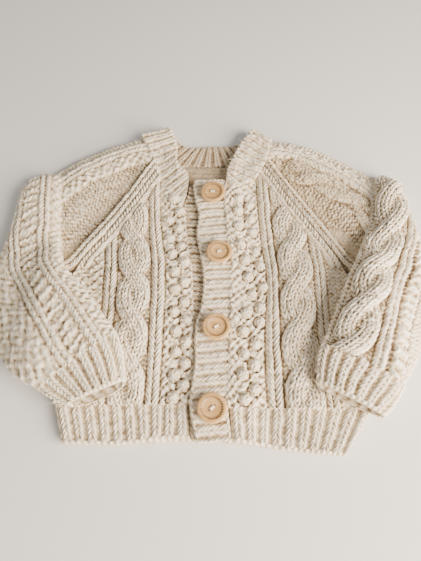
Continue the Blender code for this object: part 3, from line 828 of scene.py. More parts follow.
neckband = {
    # from the right front round the back to the left front: neck edge x, y, seam edge x, y, underside
    "rows": ((-20.4, 67.6, -24.4, 55.4, 4.6), (-19.6, 88.0, -36.6, 71.8, 5.0),
             (-29.4, 101.0, -45.0, 89.6, 5.6), (-30.2, 121.0, -52.0, 110.8, 6.4),
             (-36.2, 138.0, -60.8, 128.6, 7.6),
             (-37.0, 141.0, -61.6, 131.4, 3.8), (-35.6, 138.0, -59.4, 128.6, 0.2),
             (-28.6, 128.0, -49.2, 109.0, 0.0), (-18.0, 122.6, -36.0, 101.4, 0.0),
             (0.0, 124.2, 0.0, 101.2, 0.0), (18.0, 124.4, 37.0, 101.4, 0.0), (27.4, 128.6, 48.0, 109.0, 0.0),
             (35.6, 136.4, 52.6, 123.6, 0.2), (38.4, 140.0, 54.4, 127.0, 3.8),
             (37.0, 136.8, 52.8, 123.8, 7.6), (26.4, 121.0, 49.4, 106.6, 7.0),
             (19.6, 105.0, 43.8, 93.6, 7.0), (14.4, 91.0, 35.6, 80.8, 7.4), (13.4, 80.2, 14.2, 69.4, 8.8)),
    "wall": 3.8, "pitch": 7.6, "rowsRound": 481, "columns": 33,
    "sewn": 1.5,         # mm by which the seam edge reaches over the pieces it is sewn to
    # soft pleats on the wearer's right: from x, y to x, y, half width, height in mm
    "pleats": ((-45.0, 112.0, -41.0, 80.0, 6.0, -2.0), (-31.0, 106.0, -27.0, 78.0, 2.2, 1.1),
               (-25.0, 98.0, -21.5, 74.0, 1.7, 0.8), (45.0, 118.0, 30.0, 94.0, 5.0, -0.9),
               (24.0, 104.0, 19.0, 84.0, 3.0, 0.7)),
}


def makeNeckband(material):
    rows, run = evenRows(neckband["rows"], neckband["rowsRound"],
                         lambda r: np.concatenate((midLine(r), r[:, 4:5]), axis=1))
    reach = rows[:, 2:4] - rows[:, 0:2]
    wider = neckband["sewn"] * ease((rows[:, 4:5] - 2.0) / 2.0) / np.linalg.norm(reach, axis=1)[:, None]
    rows[:, 2:4] = rows[:, 2:4] + reach * wider
    for end, before in ((0, 12), (-1, -13)):
        way = rows[end, 0:4] - rows[before, 0:4]
        way = way / np.linalg.norm(way[0:2])
        fade = ease(1.0 - np.abs(np.arange(len(rows)) - end % len(rows)) / 12.0)[:, None]
        rows[:, 0:4] = rows[:, 0:4] + way * fade * neckband["sewn"]
    run = run[:, None]
    share = np.linspace(0, 1, neckband["columns"])[None, :]
    x = blend(rows[:, 0:1], rows[:, 2:3], share)
    y = blend(rows[:, 1:2], rows[:, 3:4], share)
    z = np.maximum(rows[:, 4:5], 0.0) + neckband["wall"] / 2 + 0 * share
    centre = np.stack((x, y, z), axis=-1)
    normal = normalsOf(centre)
    if normal[3, 3, 2] < 0:
        normal = -normal
    width = np.linalg.norm(rows[:, 0:2] - rows[:, 2:4], axis=1)[:, None]
    across = share * width
    u = run + 0.8 * softNoise(run + 0 * x, across, 20.0, 52)
    edge = edgeRound(across + 0.2, 1.8) * edgeRound(width - across + 0.2, 1.2)
    edge = 0.2 + 0.8 * edge * edgeRound(run + 0.2, 1.2) * edgeRound(run[-1] - run + 0.2, 1.2)
    rib = ribField(u, across + 0.5 * softNoise(x, y, 9.0, 53), neckband["pitch"], 0.76, 3.3)
    far = ribField(u + neckband["pitch"] / 2, across, neckband["pitch"], 0.70, 3.3)
    rib = blend(rib, 0.55 + 0.25 * np.cos(2 * np.pi * u / 4.2), window(across, -1.0, 2.4, 0.8))
    rough = 0.35 * softNoise(x, y, 3.0, 54) + 0.3 * softNoise(x, y, 1.8, 55)
    pleats = softCreases(x, y, neckband["pleats"]) * (z > 4.0)
    # where the band stands on edge or turns over, its walls stay thin, so that they don't meet
    facing = normal[:, :, 2]
    outerLift = np.maximum(0.75 + (0.3 + 1.9 * rib + rough) * edge + pleats, 0.1)
    outerLift = np.where(facing < -0.6, np.minimum(outerLift, 1.9), outerLift)
    fullLift = 0.75 + (0.15 + 1.5 * far) * edge
    innerLift = np.minimum(fullLift, np.where(np.abs(facing) > 0.6, 1.9, 3.0))
    innerLift = np.where(facing < -0.6, fullLift, innerLift)
    outer = centre + normal * outerLift[:, :, None]
    inner = centre - normal * innerLift[:, :, None]
    # the inner face is darker by 0.28: painted shade inside the collar
    behind = np.clip(cavityOf(1.8 * far, 4) - 0.28, 0.0, 1.0)
    mesh = shellMesh("neckband_knit", outer, inner, 1, cavityOf(2.1 * rib + rough, 4),
                     np.stack((u, across), axis=-1), behind=behind)
    return newPiece("neckband_knit", mesh, material, "neckband")


# Sleeves: the shoulder and the bent arm, each a flattened tube with a wall of its own

sleeves = {
    "right": {
        # y on the raglan seam, distance off it, outer x, y
        "cap": ((95.8, 0.5, -63.2, 131.2), (82.0, 0.5, -80.0, 126.4), (60.0, 0.5, -101.0, 116.4),
                (36.0, 0.5, -124.0, 102.0), (15.0, 0.5, -142.0, 84.0), (-1.6, 0.9, -150.0, 62.0),
                (-8.0, 7.0, -152.0, 40.0)),
        # inner x, y, outer x, y, crown height
        "arm": ((-129.0, 90.0, -149.0, 90.4, 6.0), (-127.6, 78.0, -159.6, 77.0, 12.5),
                (-125.8, 54.0, -161.4, 57.0, 15.0), (-122.0, 29.0, -160.6, 35.0, 15.5),
                (-119.6, 13.0, -166.2, 12.0, 15.5), (-113.0, -5.0, -166.6, -14.0, 16.0),
                (-97.0, -23.0, -161.0, -44.0, 16.5), (-84.0, -38.0, -152.4, -67.0, 16.5),
                (-75.0, -50.0, -140.6, -86.0, 16.0), (-65.6, -61.6, -113.6, -100.6, 14.0)),
        "cuff": ((-65.2, -62.2, -113.0, -101.2, 13.6), (-60.4, -76.0, -104.4, -105.4, 12.6),
                 (-57.0, -95.0, -93.0, -110.4, 12.2)),
        # the last value darkens the colour in the shoulder's valley: painted shade
        "side": -1, "seed": 61, "lip": 3.6, "shade": 0.12,
    },
    "left": {
        "cap": ((99.2, 0.5, 56.0, 128.2), (84.6, 0.5, 76.0, 126.6), (60.6, 0.5, 100.0, 116.0),
                (36.4, 0.5, 123.6, 100.4), (17.0, 0.5, 144.0, 84.0), (-1.2, 0.9, 152.0, 62.0),
                (-8.0, 7.0, 154.0, 40.0)),
        "arm": ((138.0, 86.0, 156.0, 86.6, 6.0), (136.0, 70.0, 161.0, 70.0, 12.5),
                (133.6, 48.0, 165.0, 51.0, 14.5), (125.0, 26.0, 168.6, 26.0, 15.5),
                (115.4, 6.0, 166.6, -4.0, 16.0), (103.0, -16.0, 162.0, -30.0, 16.5),
                (90.0, -42.0, 155.0, -57.0, 16.5), (80.0, -62.0, 147.0, -78.0, 15.5),
                (76.2, -70.0, 131.0, -97.6, 14.0)),
        "cuff": ((75.8, -70.8, 130.4, -98.4, 13.6), (72.6, -82.0, 122.0, -108.0, 12.6),
                 (71.2, -96.4, 112.8, -118.2, 12.2)),
        # the last value darkens the colour in the shoulder's valley: painted shade
        "side": 1, "seed": 71, "lip": 1.0, "shade": 0.22,
    },
    "sewn": 0.9,         # mm by which the cap reaches over the front
    "hollow": 1.9,       # mm, the soft valley beside the raglan seam
    "capHeight": 9.4, "foot": 0.2, "lowest": 0.05, "wall": 2.5,
    "topColumns": 112, "underColumns": 32, "armRows": 289, "capRows": 225,
}


def armRings(rows):
    # Rings of points over the top from the inner edge to the outer edge and back underneath.
    top = np.linspace(np.pi, 0.0, sleeves["topColumns"] + 1)[:-1]
    low = np.linspace(0.0, -np.pi, sleeves["underColumns"] + 1)[:-1]
    angle = np.concatenate((top, low))[None, :]
    share = (1.0 + np.cos(angle)) / 2.0
    x = blend(rows[:, 0:1], rows[:, 2:3], share)
    y = blend(rows[:, 1:2], rows[:, 3:4], share)
    crown = rows[:, 4:5]
    waist = 0.42 * crown
    rise = np.abs(np.sin(angle))
    firm = restHeight(x, y, body["sideFall"])
    soft = np.maximum(restHeight(x, y, 2.2 * body["sideFall"]), firm)
    above = soft + waist + (crown - waist) * rise**0.8
    below = firm + waist * (1.0 - rise**0.55)
    centre = (above + below) / 2
    opened = np.clip(rise / 0.28, 0.0, 1.0) ** 0.5
    upper = angle > 0.0
    z = centre + (np.where(upper, above, below) - centre) * opened
    grid = np.stack((x + 0 * z, y + 0 * z, z), axis=-1)
    return grid, np.broadcast_to(upper, z.shape), rise + 0 * z


def outwards(grid):
    normal = normalsOf(grid, wrapped=True)
    centre = grid.mean(axis=1, keepdims=True)
    if np.einsum("ijk,ijk->", normal, grid - centre) < 0:
        normal = -normal
    return normal


def aroundRun(grid):
    # The way run round each ring from its inner edge.
    steps = np.linalg.norm(np.diff(grid, axis=1), axis=2)
    return np.concatenate((np.zeros((len(grid), 1)), np.cumsum(steps, axis=1)), axis=1)


def lifted(grid, normal, lift):
    # The grid moved out along its normals, but not through the floor.
    outer = grid + normal * lift[:, :, None]
    outer[:, :, 2] = np.maximum(outer[:, :, 2], sleeves["lowest"])
    return outer


def ladderBars(u, skew, pitch, level, swing, power):
    # Bars across the arm, no two quite alike.
    bars = np.clip(level + swing * np.cos(2 * np.pi * skew / pitch), 0, 1) ** power
    return bars * (0.6 + 0.45 * chance(np.round(skew / pitch), 2.0 + np.round(u / 4.5)))


# u is the way across the top of an arm from its inner edge, v the way down it

def rightArmPattern(u, v, seed):
    relief = 0.5 + 1.7 * mossField(u, v, 4.1, 3.7)
    skew = v - 0.6 * (u - 28.0) + 1.4 * softNoise(u, v, 6.0, seed + 7)
    bars = ladderBars(u, skew, 8.2, 0.42, 0.66, 1.2)
    bars = bars * (0.72 + 0.28 * np.cos(2 * np.pi * (u - 0.4 * v) / 2.9))
    relief = blend(relief, 0.4 + 0.9 * mossField(u, v, 3.3, 3.0) + 1.6 * bars, window(u, 21.5, 35.0, 1.6))
    for centre in (16.4, 40.0):
        relief = layRib(relief, u - centre, v, 1.3, 1.4, 0.2, 0.85)
    tufts = mossField(u - 49.0 + 0.45 * v, v - 0.2 * u, 4.6, 4.3)
    knots = 0.8 + 1.5 * tufts + 0.5 * softNoise(u, v, 4.0, seed + 8)
    return blend(relief, knots, ease((u - 45.0) / 2.5))


def leftArmPattern(u, v, seed):
    off = u - 21.0
    rope = 1.3 * ropeCable(off, -v, 14.2, 38.5, -1, -38.0)
    relief = blend(1.1 * purlField(u, v, 4.4, 3.7), rope, window(off, -14.2, 14.2, 0.8))
    relief = relief - 0.9 * hump(np.abs(off) - 15.2, 1.0)
    off = u - 41.2
    relief = blend(relief, doubleRib(off, v), window(off, -4.8, 4.8, 0.6)) - 1.3 * hump(u - 47.6, 1.5)
    skew = v - 0.3 * u + 1.0 * softNoise(u, v, 6.0, seed + 7)
    bars = ladderBars(u, skew, 7.8, 0.45, 0.64, 1.0)
    relief = blend(relief, 0.2 + 0.8 * mossField(u, v, 3.3, 3.0) + 2.6 * bars, window(u, 49.8, 60.0, 1.0))
    return relief - 1.3 * hump(u - 61.5, 1.3)


def armMesh(side):
    facts = sleeves[side]
    seed = facts["seed"]
    rows, run = evenRows(facts["arm"], sleeves["armRows"], midLine)
    toEnd = np.minimum(np.arange(len(rows)), np.arange(len(rows))[::-1])[:, None]
    rows = rows + (boxBlur(boxBlur(rows, 14, 0, False), 10, 0, False) - rows) * ease(toEnd / 40.0)
    grid, upper, rise = armRings(rows)
    closing = edgeRound(run + 0.3, 9.0)[:, None, None]
    centre = grid.mean(axis=1, keepdims=True)
    grid = centre + (grid - centre) * closing
    normal = outwards(grid)
    q = aroundRun(grid)
    v = run[:, None] + 0 * q
    swayed = (q + 0.6 * softNoise(q, v, 15.0, seed), v + 0.9 * softNoise(q, v, 12.0, seed + 1))
    relief = (rightArmPattern if side == "right" else leftArmPattern)(*swayed, seed)
    relief = relief + 0.5 * softNoise(q, v, 22.0, seed + 3) + 0.42 * softNoise(q, v, 3.2, seed + 4)
    relief = relief + 0.35 * softNoise(q * 1.4, v, 1.8, seed + 6)
    # the knitting shows on top and a little way round the outer edge, and is plain underneath
    outside = np.arange(1, q.shape[1] + 1)[None, :] > 0.75 * sleeves["topColumns"]
    fade = np.where(upper, ease(np.clip(rise / 0.12, 0, 1)), 0.0)
    fade = np.where(outside, np.where(upper, 1.0, ease(1.0 - rise / 0.6)), fade)
    outer = lifted(grid, normal, (relief - 0.9) * fade - 0.7 * (1 - fade))
    inset = np.minimum(sleeves["wall"], 0.22 * rows[:, 4:5])[::4] * closing[::4, :, 0]
    inner = (grid - normal * 0.9)[::4, ::4] - normal[::4, ::4] * inset[:, :, None]
    cavity = blend(0.5, cavityOf(relief, 5, True), fade)
    return shellMesh(side + "_arm", outer, inner, 4, cavity, np.stack((q, v), axis=-1), wrapped=True)


def capRelief(side, x, y, fromFold, fromSeam, run, width):
    # The knitting of the shoulder, its places across and along, and the valley towards the seam.
    seed = sleeves[side]["seed"] + 5
    sway, pull = knitUneven(x, y, seed)
    u = fromFold + sway
    v = run + pull + 0 * u
    valley = ease((u - (29.0 if side == "right" else 21.0)) / 4.0)
    relief = blend(0.5 + 2.0 * mossField(u, v, 4.3, 3.9), 0.8 * purlField(u, v, 4.4, 3.6) - 0.4, valley)
    centre = 13.5
    if side == "left":
        centre = 16.0
        off = u - 33.0
        mask = window(off, -11.0, 11.0, 1.6) * ease((width - 47.0) / 10.0)
        relief = blend(relief, 0.5 * ropeCable(off, -v, 11.0, 36.0, -1, 4.0) - 0.3, mask)
    relief = layRib(relief, u - centre, v, 1.4, 1.4, share=ease((width - centre - 14.0) / 6.0))
    relief = blend(relief, purlField(u, v, 4.4, 3.6), window(u, -3.0, 7.5, 1.5))
    rib = 0.2 + doubleRib(fromSeam - 4.7 + 0.4 * sway, v)
    relief = blend(relief, rib, window(fromSeam, 0.0, 9.4, 1.4)) - 0.6 * hump(fromSeam - 10.8, 1.8)
    relief = relief + 0.7 * softNoise(x, y, 22.0, seed + 3) + 0.42 * softNoise(x, y, 3.2, seed + 4)
    return relief + 0.35 * softNoise(x * 1.4, y, 1.8, seed + 6), u, v, valley


def capMesh(side):
    facts = sleeves[side]
    rows, _ = evenRows(facts["cap"], sleeves["capRows"],
                       lambda r: np.stack((r[:, 2] * 0.6, (r[:, 0] + r[:, 3]) / 2), axis=1))
    off = facts["side"] * (rows[:, 1] - sleeves["sewn"])
    raglan = np.stack((sideAt(facts["side"] + 0 * rows[:, 0], rows[:, 0]) + off, rows[:, 0]), axis=1)
    fold = rows[:, 2:4]
    width = np.linalg.norm(fold - raglan, axis=1)[:, None]
    # columns over the top from the seam to the fold, back underneath, and up the edge at the seam
    columns = sleeves["topColumns"]
    lower = sleeves["underColumns"] - 4
    share = np.concatenate((1 - (1 - np.linspace(0, 1, columns)) ** 1.12,
                            1 - np.linspace(0, 1, lower + 1)[1:], np.zeros(4)))[None, :]
    level = np.concatenate((np.ones(columns), np.zeros(lower), (0.2, 0.4, 0.6, 0.8)))[None, :]
    x = blend(raglan[:, 0:1], fold[:, 0:1], share)
    y = blend(raglan[:, 1:2], fold[:, 1:2], share)
    dome = np.sqrt(np.clip(1.0 - np.clip((share - 0.5) / 0.5, 0, 1) ** 2, 0, 1))
    half = sleeves["capHeight"] / 2 - 0.5
    above = sleeves["foot"] + half + half * dome
    below = sleeves["foot"] + (half - half * dome) * (share > 0.9)
    z = blend(below, above, level) + 0 * x
    grid = np.stack((x, y, z), axis=-1)
    normal = outwards(grid)
    run = runAlong((raglan + fold) / 2)[:, None]
    fromSeam = share * width * 0.9
    relief, u, v, valley = capRelief(side, x, y, (1 - share) * width, fromSeam, run, width)
    fade = level * (share < 0.985) * edgeRound(fromSeam + 0.3, 0.9)
    outer = lifted(grid, normal, (relief - 0.9) * fade - 0.5 * (1 - fade))
    inner = (grid - normal * 3.0)[::4, ::4]
    hollow = sleeves["hollow"] * hump(fromSeam - 17.0, 9.0) * ease((run - 4.0) / 16.0)
    outer[:, :, 2] = outer[:, :, 2] - hollow * level * ease((outer[:, :, 2] - 4.0) / 3.0)
    cavity = blend(0.5, cavityOf(relief, 5, True), fade)
    # painted shade: the colour is darkened in the hollow beside the seam, and in the valley by the value in
    # the sleeve's table
    cavity = np.clip(cavity - 0.06 * hollow - facts["shade"] * valley, 0.0, 1.0)
    return shellMesh(side + "_cap", outer, inner, 4, cavity, np.stack((u, v), axis=-1), wrapped=True)


def joined(name, meshes):
    together = bmesh.new()
    for mesh in meshes:
        together.from_mesh(mesh)
        bpy.data.meshes.remove(mesh)
    made = bpy.data.meshes.new(name)
    together.to_mesh(made)
    together.free()
    made.shade_smooth()
    return made


def makeSleeves(material):
    made = {}
    for side in ("right", "left"):
        mesh = joined(side + "_sleeve_knit", [capMesh(side), armMesh(side)])
        made[side] = newPiece(side + "_sleeve_knit", mesh, material, side + "_sleeve")
    return made


cuffs = {"pitch": 7.6, "rowsDown": 61, "wall": 3.0, "sewn": 1.6}


def makeCuffs(material):
    made = {}
    for side in ("right", "left"):
        facts = sleeves[side]
        rows, run = evenRows(facts["cuff"], cuffs["rowsDown"], midLine)
        run = run[:, None]
        axis = rows[-1, 0:2] + rows[-1, 2:4] - rows[0, 0:2] - rows[0, 2:4]
        axis = axis / np.linalg.norm(axis)
        tuck = cuffs["sewn"] * ease(1.0 - np.arange(len(rows)) / 10.0)[:, None]
        rows[:, 0:4] = rows[:, 0:4] - np.tile(axis, 2) * tuck
        grid, upper, rise = armRings(rows)
        down = ease(run / run[-1]) * np.where(upper, 0.0, rise)
        grid[:, :, 0:2] += axis * (facts["lip"] * down)[:, :, None]
        normal = outwards(grid)
        q = aroundRun(grid)
        overTop = q[:, sleeves["topColumns"]][:, None]
        q = q + (60.0 - overTop) * np.clip(q / overTop, 0, 1)
        v = run + 0 * q
        seed = facts["seed"] + 8
        u = q + 0.6 * softNoise(q, v, 14.0, seed)
        relief = 2.8 * ribField(u, v + 0.5 * softNoise(q, v, 9.0, seed + 1), cuffs["pitch"], 0.74, 3.4)
        cast = 1.7 + 0.4 * np.cos(2 * np.pi * u / 4.2)
        relief = blend(relief, cast, window(run[-1] - v, -1.0, 2.4, 0.8))
        relief = relief + 0.2 * softNoise(q, v, 3.0, seed + 2)
        mouth = edgeRound(run[-1] - run + 0.2, 1.8)
        fade = np.where(upper, 1.0, 0.5) * mouth * (0.5 + 0.5 * edgeRound(run + 0.2, 1.6))
        outer = lifted(grid, normal, (relief - 1.0) * fade - 1.2 * (1 - mouth))
        within = 1.5 * ribField(u + 3.8, v, cuffs["pitch"], 0.74, 3.4) * np.clip(rise * 3, 0, 1)
        within = np.where(upper, 0.0, within)
        inner = grid - normal * (cuffs["wall"] - within * mouth)[:, :, None]
        # the inside of the mouth is darker by 0.12: painted shade
        behind = np.clip(cavityOf(within, 5, True) - 0.12, 0, 1)
        mesh = shellMesh(side + "_cuff_knit", outer, inner, 1, cavityOf(relief, 5, True),
                         np.stack((u, v), axis=-1), wrapped=True, behind=behind)
        made[side] = newPiece(side + "_cuff_knit", mesh, material, side + "_cuff")
    return made


# Bobbles: knots of a few stitches worked into one, set over the fronts

bobbles = {
    "size": 3.9,         # mm, half the width
    "spread": 0.14,      # how much they differ
    "proud": 0.9,        # mm, their middle above the cloth
}


def knotMesh():
    # One knot: three columns of stitches drawn together above and below.
    mesh = bpy.data.meshes.new("knot")
    ball = bmesh.new()
    bmesh.ops.create_icosphere(ball, subdivisions=4, radius=1.0)
    depthAndPaintedLight = []
    for vert in ball.verts:
        x, y, z = vert.co
        across = (x / 0.8 - round(x / 0.8)) * 0.8
        stitch = float(knitColumn(np.array(across), np.array(y + 0.2 * x), 0.4, 0.62))
        rough = float(softNoise(x * 3.0 + 7.0, y * 3.0 + 2.0 * z, 1.0, 91))
        scale = 0.80 + 0.30 * stitch + 0.10 * rough
        # lighter in the stitches' crests and, by up to 0.30, on the upper half: painted light on the knot's
        # top
        depthAndPaintedLight.append(0.10 + 0.62 * stitch + 0.30 * max(z, 0.0) + 0.1 * rough)
        vert.co = Vector((x * scale, y * scale * 1.14, max(z * scale, -0.5) * 0.92))
    bmesh.ops.scale(ball, vec=Vector((1, 1, 1)) * mm, verts=ball.verts)
    ball.to_mesh(mesh)
    ball.free()
    setCavity(mesh, depthAndPaintedLight)
    mesh.shade_smooth()
    return mesh


def newTree(name, inputs):
    # A node group with these inputs, named with their kinds, which gives one geometry.
    tree = bpy.data.node_groups.new(name, "GeometryNodeTree")
    for label, kind in inputs.items():
        tree.interface.new_socket(name=label, in_out="INPUT", socket_type="NodeSocket" + kind)
    tree.interface.new_socket(name="Geometry", in_out="OUTPUT", socket_type="NodeSocketGeometry")
    return tree, addNode(tree, "NodeGroupInput").outputs


def copiesOnPoints(tree, material, points, thing, rotation, scale):
    # The end that both trees share: a copy on each point, made real, in one material.
    copies = addNode(tree, "GeometryNodeInstanceOnPoints", {
        "Points": points, "Instance": thing, "Rotation": rotation, "Scale": scale})
    real = addNode(tree, "GeometryNodeRealizeInstances", {"Geometry": copies.outputs["Instances"]})
    finish = addNode(tree, "GeometryNodeSetMaterial", {
        "Geometry": real.outputs["Geometry"], "Material": material})
    addNode(tree, "NodeGroupOutput", {0: finish.outputs["Geometry"]})
    return tree


def bobbleTree(material):
    tree, given = newTree("bobbles on points", {
        "Points": "Geometry", "Knot": "Object", "Size": "Float", "Spread": "Float", "Seed": "Int"})
    knot = addNode(tree, "GeometryNodeObjectInfo", {"Object": given["Knot"]}).outputs["Geometry"]
    low = addNode(tree, "ShaderNodeMath", {0: given["Size"], 1: given["Spread"]}, operation="SUBTRACT")
    high = addNode(tree, "ShaderNodeMath", {0: given["Size"], 1: given["Spread"]}, operation="ADD")
    size = addNode(tree, "FunctionNodeRandomValue", {
        2: low.outputs[0], 3: high.outputs[0], "Seed": given["Seed"]}, data_type="FLOAT")
    turn = addNode(tree, "FunctionNodeRandomValue", {
        0: (-0.35, -0.35, -3.1), 1: (0.35, 0.35, 3.1), "Seed": given["Seed"]}, data_type="FLOAT_VECTOR")
    return copiesOnPoints(tree, material, given["Points"], knot, turn.outputs[0], size.outputs[1])


def settled(piece):
    # The evaluated result as a plain mesh, with the modifiers gone.
    bpy.context.view_layer.update()
    graph = bpy.context.evaluated_depsgraph_get()
    mesh = bpy.data.meshes.new_from_object(piece.evaluated_get(graph))
    piece.modifiers.clear()
    piece.data = mesh
    return piece


def grown(piece, tree, **values):
    # What the tree makes on the piece, with each input set by its socket's identifier.
    work = piece.modifiers.new(tree.name, "NODES")
    work.node_group = tree
    for item in tree.interface.items_tree:
        if item.in_out == "INPUT" and item.name in values:
            work[item.identifier] = values[item.name]
    return settled(piece)


def makeBobbles(material):
    knot = linked("knot", knotMesh())
    tree = bobbleTree(material)
    made = {}
    for side in ("right", "left"):
        facts = fronts[side]
        x, y = np.array(facts["bobbles"]).T
        z = frontUnder(x, y) + frontSwell(x, y) + fronts["wall"] + bobbles["proud"]
        points = bpy.data.meshes.new("bobble places")
        points.from_pydata((np.stack((x, y, z), axis=-1) - middle) * mm, [], [])
        piece = grown(linked(side + "_bobbles", points), tree, Knot=knot, Size=bobbles["size"],
                      Spread=bobbles["size"] * bobbles["spread"], Seed=facts["seed"])
        piece.data.shade_smooth()
        made[side] = fitted(piece)
    bpy.data.objects.remove(knot)
    return made


buttons = {
    # from the neck down: x, y, lean about Y, nod about X in degrees
    "rows": ((2.2, 62.6, -5.0, 2.0), (6.6, 5.6, 2.0, -2.0), (4.2, -55.6, -1.0, 1.0),
             (1.0, -112.0, -1.0, 0.0)),
    "radius": 10.0, "thickness": 3.4, "rim": 2.6, "dish": 0.9, "hole": 0.95, "spacing": 3.8, "segments": 96,
    "faceRings": 14,     # the rings from the middle to the rim's outer edge, which take the burnt marks
}


def buttonProfile():
    r = buttons["radius"]
    t = buttons["thickness"]
    lip = r - buttons["rim"]
    points = [(0.0, t - buttons["dish"]), (lip - 1.7, t - buttons["dish"]), (lip - 1.1, t - 0.72),
              (lip - 0.5, t - 0.3), (lip - 0.1, t - 0.08), (lip + 0.4, t)]
    for k in range(1, 9):
        turn = math.pi / 2 * k / 8
        points.append((r - 1.1 + 1.1 * math.sin(turn), t - 1.1 + 1.1 * math.cos(turn)))
    points += [(r, 1.5), (r - 0.25, 0.75), (r - 0.9, 0.2), (r - 2.0, 0.0), (0.0, 0.0)]
    return points


def discMesh(name):
    # The turned disc. Its UV map holds the turn and the share of the radius.
    disc = bmesh.new()
    polar = disc.loops.layers.uv.new("polar")
    count = buttons["segments"]
    rings = []
    for r, z in buttonProfile():
        ring = []
        for k in range(count if r else 1):
            turn = 2 * math.pi * k / count
            ring.append(disc.verts.new((r * math.cos(turn) * mm, r * math.sin(turn) * mm, z * mm)))
        rings.append(ring)
    for i, (here, there) in enumerate(zip(rings, rings[1:])):
        for k in range(count):
            corners = {}
            for ring, j in ((here, k), (there, k), (there, k + 1), (here, k + 1)):
                corners.setdefault(ring[j % len(ring)], j)
            face = disc.faces.new(list(corners))
            for loop, (vert, j) in zip(face.loops, corners.items()):
                reach = math.hypot(vert.co.x, vert.co.y) / (buttons["radius"] * mm)
                loop[polar].uv = (j / count, reach if i < buttons["faceRings"] else 0.0)
    bmesh.ops.recalc_face_normals(disc, faces=disc.faces)
    mesh = bpy.data.meshes.new(name)
    disc.to_mesh(mesh)
    disc.free()
    return mesh


def drillHoles(piece):
    cutters = []
    for side in (-1, 1):
        drill = bmesh.new()
        bmesh.ops.create_cone(drill, cap_ends=True, segments=24, radius1=buttons["hole"] * mm,
                              radius2=buttons["hole"] * mm, depth=0.02)
        bmesh.ops.translate(drill, vec=Vector((side * buttons["spacing"] / 2 * mm, 0, 0)), verts=drill.verts)
        mesh = bpy.data.meshes.new("drill")
        drill.to_mesh(mesh)
        drill.free()
        cutters.append(linked("drill", mesh))
        cut = piece.modifiers.new("hole", "BOOLEAN")
        cut.operation = "DIFFERENCE"
        cut.object = cutters[-1]
    settled(piece)
    for cutter in cutters:
        bpy.data.objects.remove(cutter)


def makeButtons(material, yarn):
    for index, (_, _, lean, nod) in enumerate(buttons["rows"]):
        name = "button_" + str(index + 1)
        mesh = discMesh(name)
        mesh.materials.append(material)
        piece = linked(name + "_wood", mesh)
        drillHoles(piece)
        low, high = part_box(name)
        place = (Vector(low) + Vector(high)) / 2
        turned = Euler((math.radians(nod), math.radians(lean), 0.25 * index)).to_matrix().to_4x4()
        lift = Matrix.Translation((0, 0, -buttons["thickness"] / 2 * mm))
        piece.data.transform(Matrix.Translation(place) @ turned @ lift)
        piece.data.set_sharp_from_angle(angle=math.radians(40))
        fitted(piece, name)
        makeYarn(name, place, turned, yarn)


sewing = {
    "stations": 15,
    "sides": 10,
    "thick": 0.52,       # mm, half the yarn's width
    "apart": 0.42,       # mm, half the way between the two strands
    "over": 0.8,         # share of the way to a hole's middle at which the yarn turns down
    "down": 2.2,
}


def makeYarn(name, place, turned, yarn):
    # The sewing yarn: two strands from hole to hole.
    sides = sewing["sides"]
    stations = sewing["stations"]
    points = []
    faces = []
    for side in (-1, 1):
        base = len(points)
        for k in range(stations):
            t = k / (stations - 1) * 2 - 1
            fall = max(0.0, (abs(t) - sewing["over"]) / (1 - sewing["over"])) * sewing["down"]
            z = buttons["thickness"] / 2 - buttons["dish"] + 0.55 - fall
            x = buttons["spacing"] / 2 * min(1.0, abs(t) / sewing["over"]) * (1 if t > 0 else -1)
            bulge = sewing["thick"] + 0.06 * math.cos(k * 2.2)
            y = side * (sewing["apart"] + 0.12 * math.cos(k * 0.45))
            for j in range(sides):
                turn = 2 * math.pi * j / sides
                points.append(Vector((x * 0.97, y + bulge * math.cos(turn), z + bulge * math.sin(turn))) * mm)
        for k in range(base, base + (stations - 1) * sides, sides):
            for j in range(sides):
                a = k + j
                b = k + (j + 1) % sides
                faces.append((a, b, b + sides, a + sides))
        faces.append(tuple(base + j for j in range(sides))[::-1])
        faces.append(tuple(base + (stations - 1) * sides + j for j in range(sides)))
    mesh = bpy.data.meshes.new(name + "_yarn")
    mesh.from_pydata([place + turned.to_3x3() @ p for p in points], [], faces)
    shape = bmesh.new()
    shape.from_mesh(mesh)
    bmesh.ops.recalc_face_normals(shape, faces=shape.faces)
    shape.to_mesh(mesh)
    shape.free()
    setCavity(mesh, np.full(len(points), 0.75))
    mesh.shade_smooth()
    newPiece(name + "_yarn", mesh, yarn)


# Loose hairs of the fleece that stand off the yarn

fuzz = {
    "perSquareMetre": 52000,
    "length": 4.6,       # mm
    "thick": 0.17,       # mm, several hairs together; one alone would not show
    "seed": 5,
    "above": 0.6,        # only yarn that lies this high between its neighbours carries hairs
    "lowest": 0.3, "highest": 33.5,
}


def hairWool():
    # Single fibres of the same wool: pale, and lit through from behind.
    made, tree, shader, place = newMaterial("loose wool hairs", Roughness=0.8, Sheen_Weight=0.4)
    mottle = addNode(tree, "ShaderNodeTexNoise", {"Vector": place, "Scale": 160.0})
    tone = addNode(tree, "ShaderNodeValToRGB", {"Fac": mottle.outputs["Fac"]}, stops=(
        (0.0, wool["middle"]), (1.0, wool["crest"])))
    tree.links.new(tone.outputs["Color"], shader.inputs["Base Color"])
    return made


def hairMesh():
    # One bent hair, a three-sided spindle pointed at both ends.
    points = []
    stations = ((0.0, 0.0, 0.0), (0.3, 0.16, 1.0), (0.7, 0.24, 0.8), (1.0, 0.1, 0.0))
    for t, bend, girth in stations:  # the way along, the bend and the thickness
        for k in range(3 if girth else 1):
            turn = 2 * math.pi * k / 3
            wide = fuzz["thick"] * girth / 2
            points.append(Vector((bend * fuzz["length"] + wide * math.cos(turn), wide * math.sin(turn),
                                  t * fuzz["length"])))
    faces = []
    for k in range(3):
        after = (k + 1) % 3
        faces.append((0, 1 + after, 1 + k))
        faces.append((1 + k, 1 + after, 4 + after, 4 + k))
        faces.append((4 + k, 4 + after, 7))
    mesh = bpy.data.meshes.new("hair")
    mesh.from_pydata([point * mm for point in points], [], faces)
    return mesh


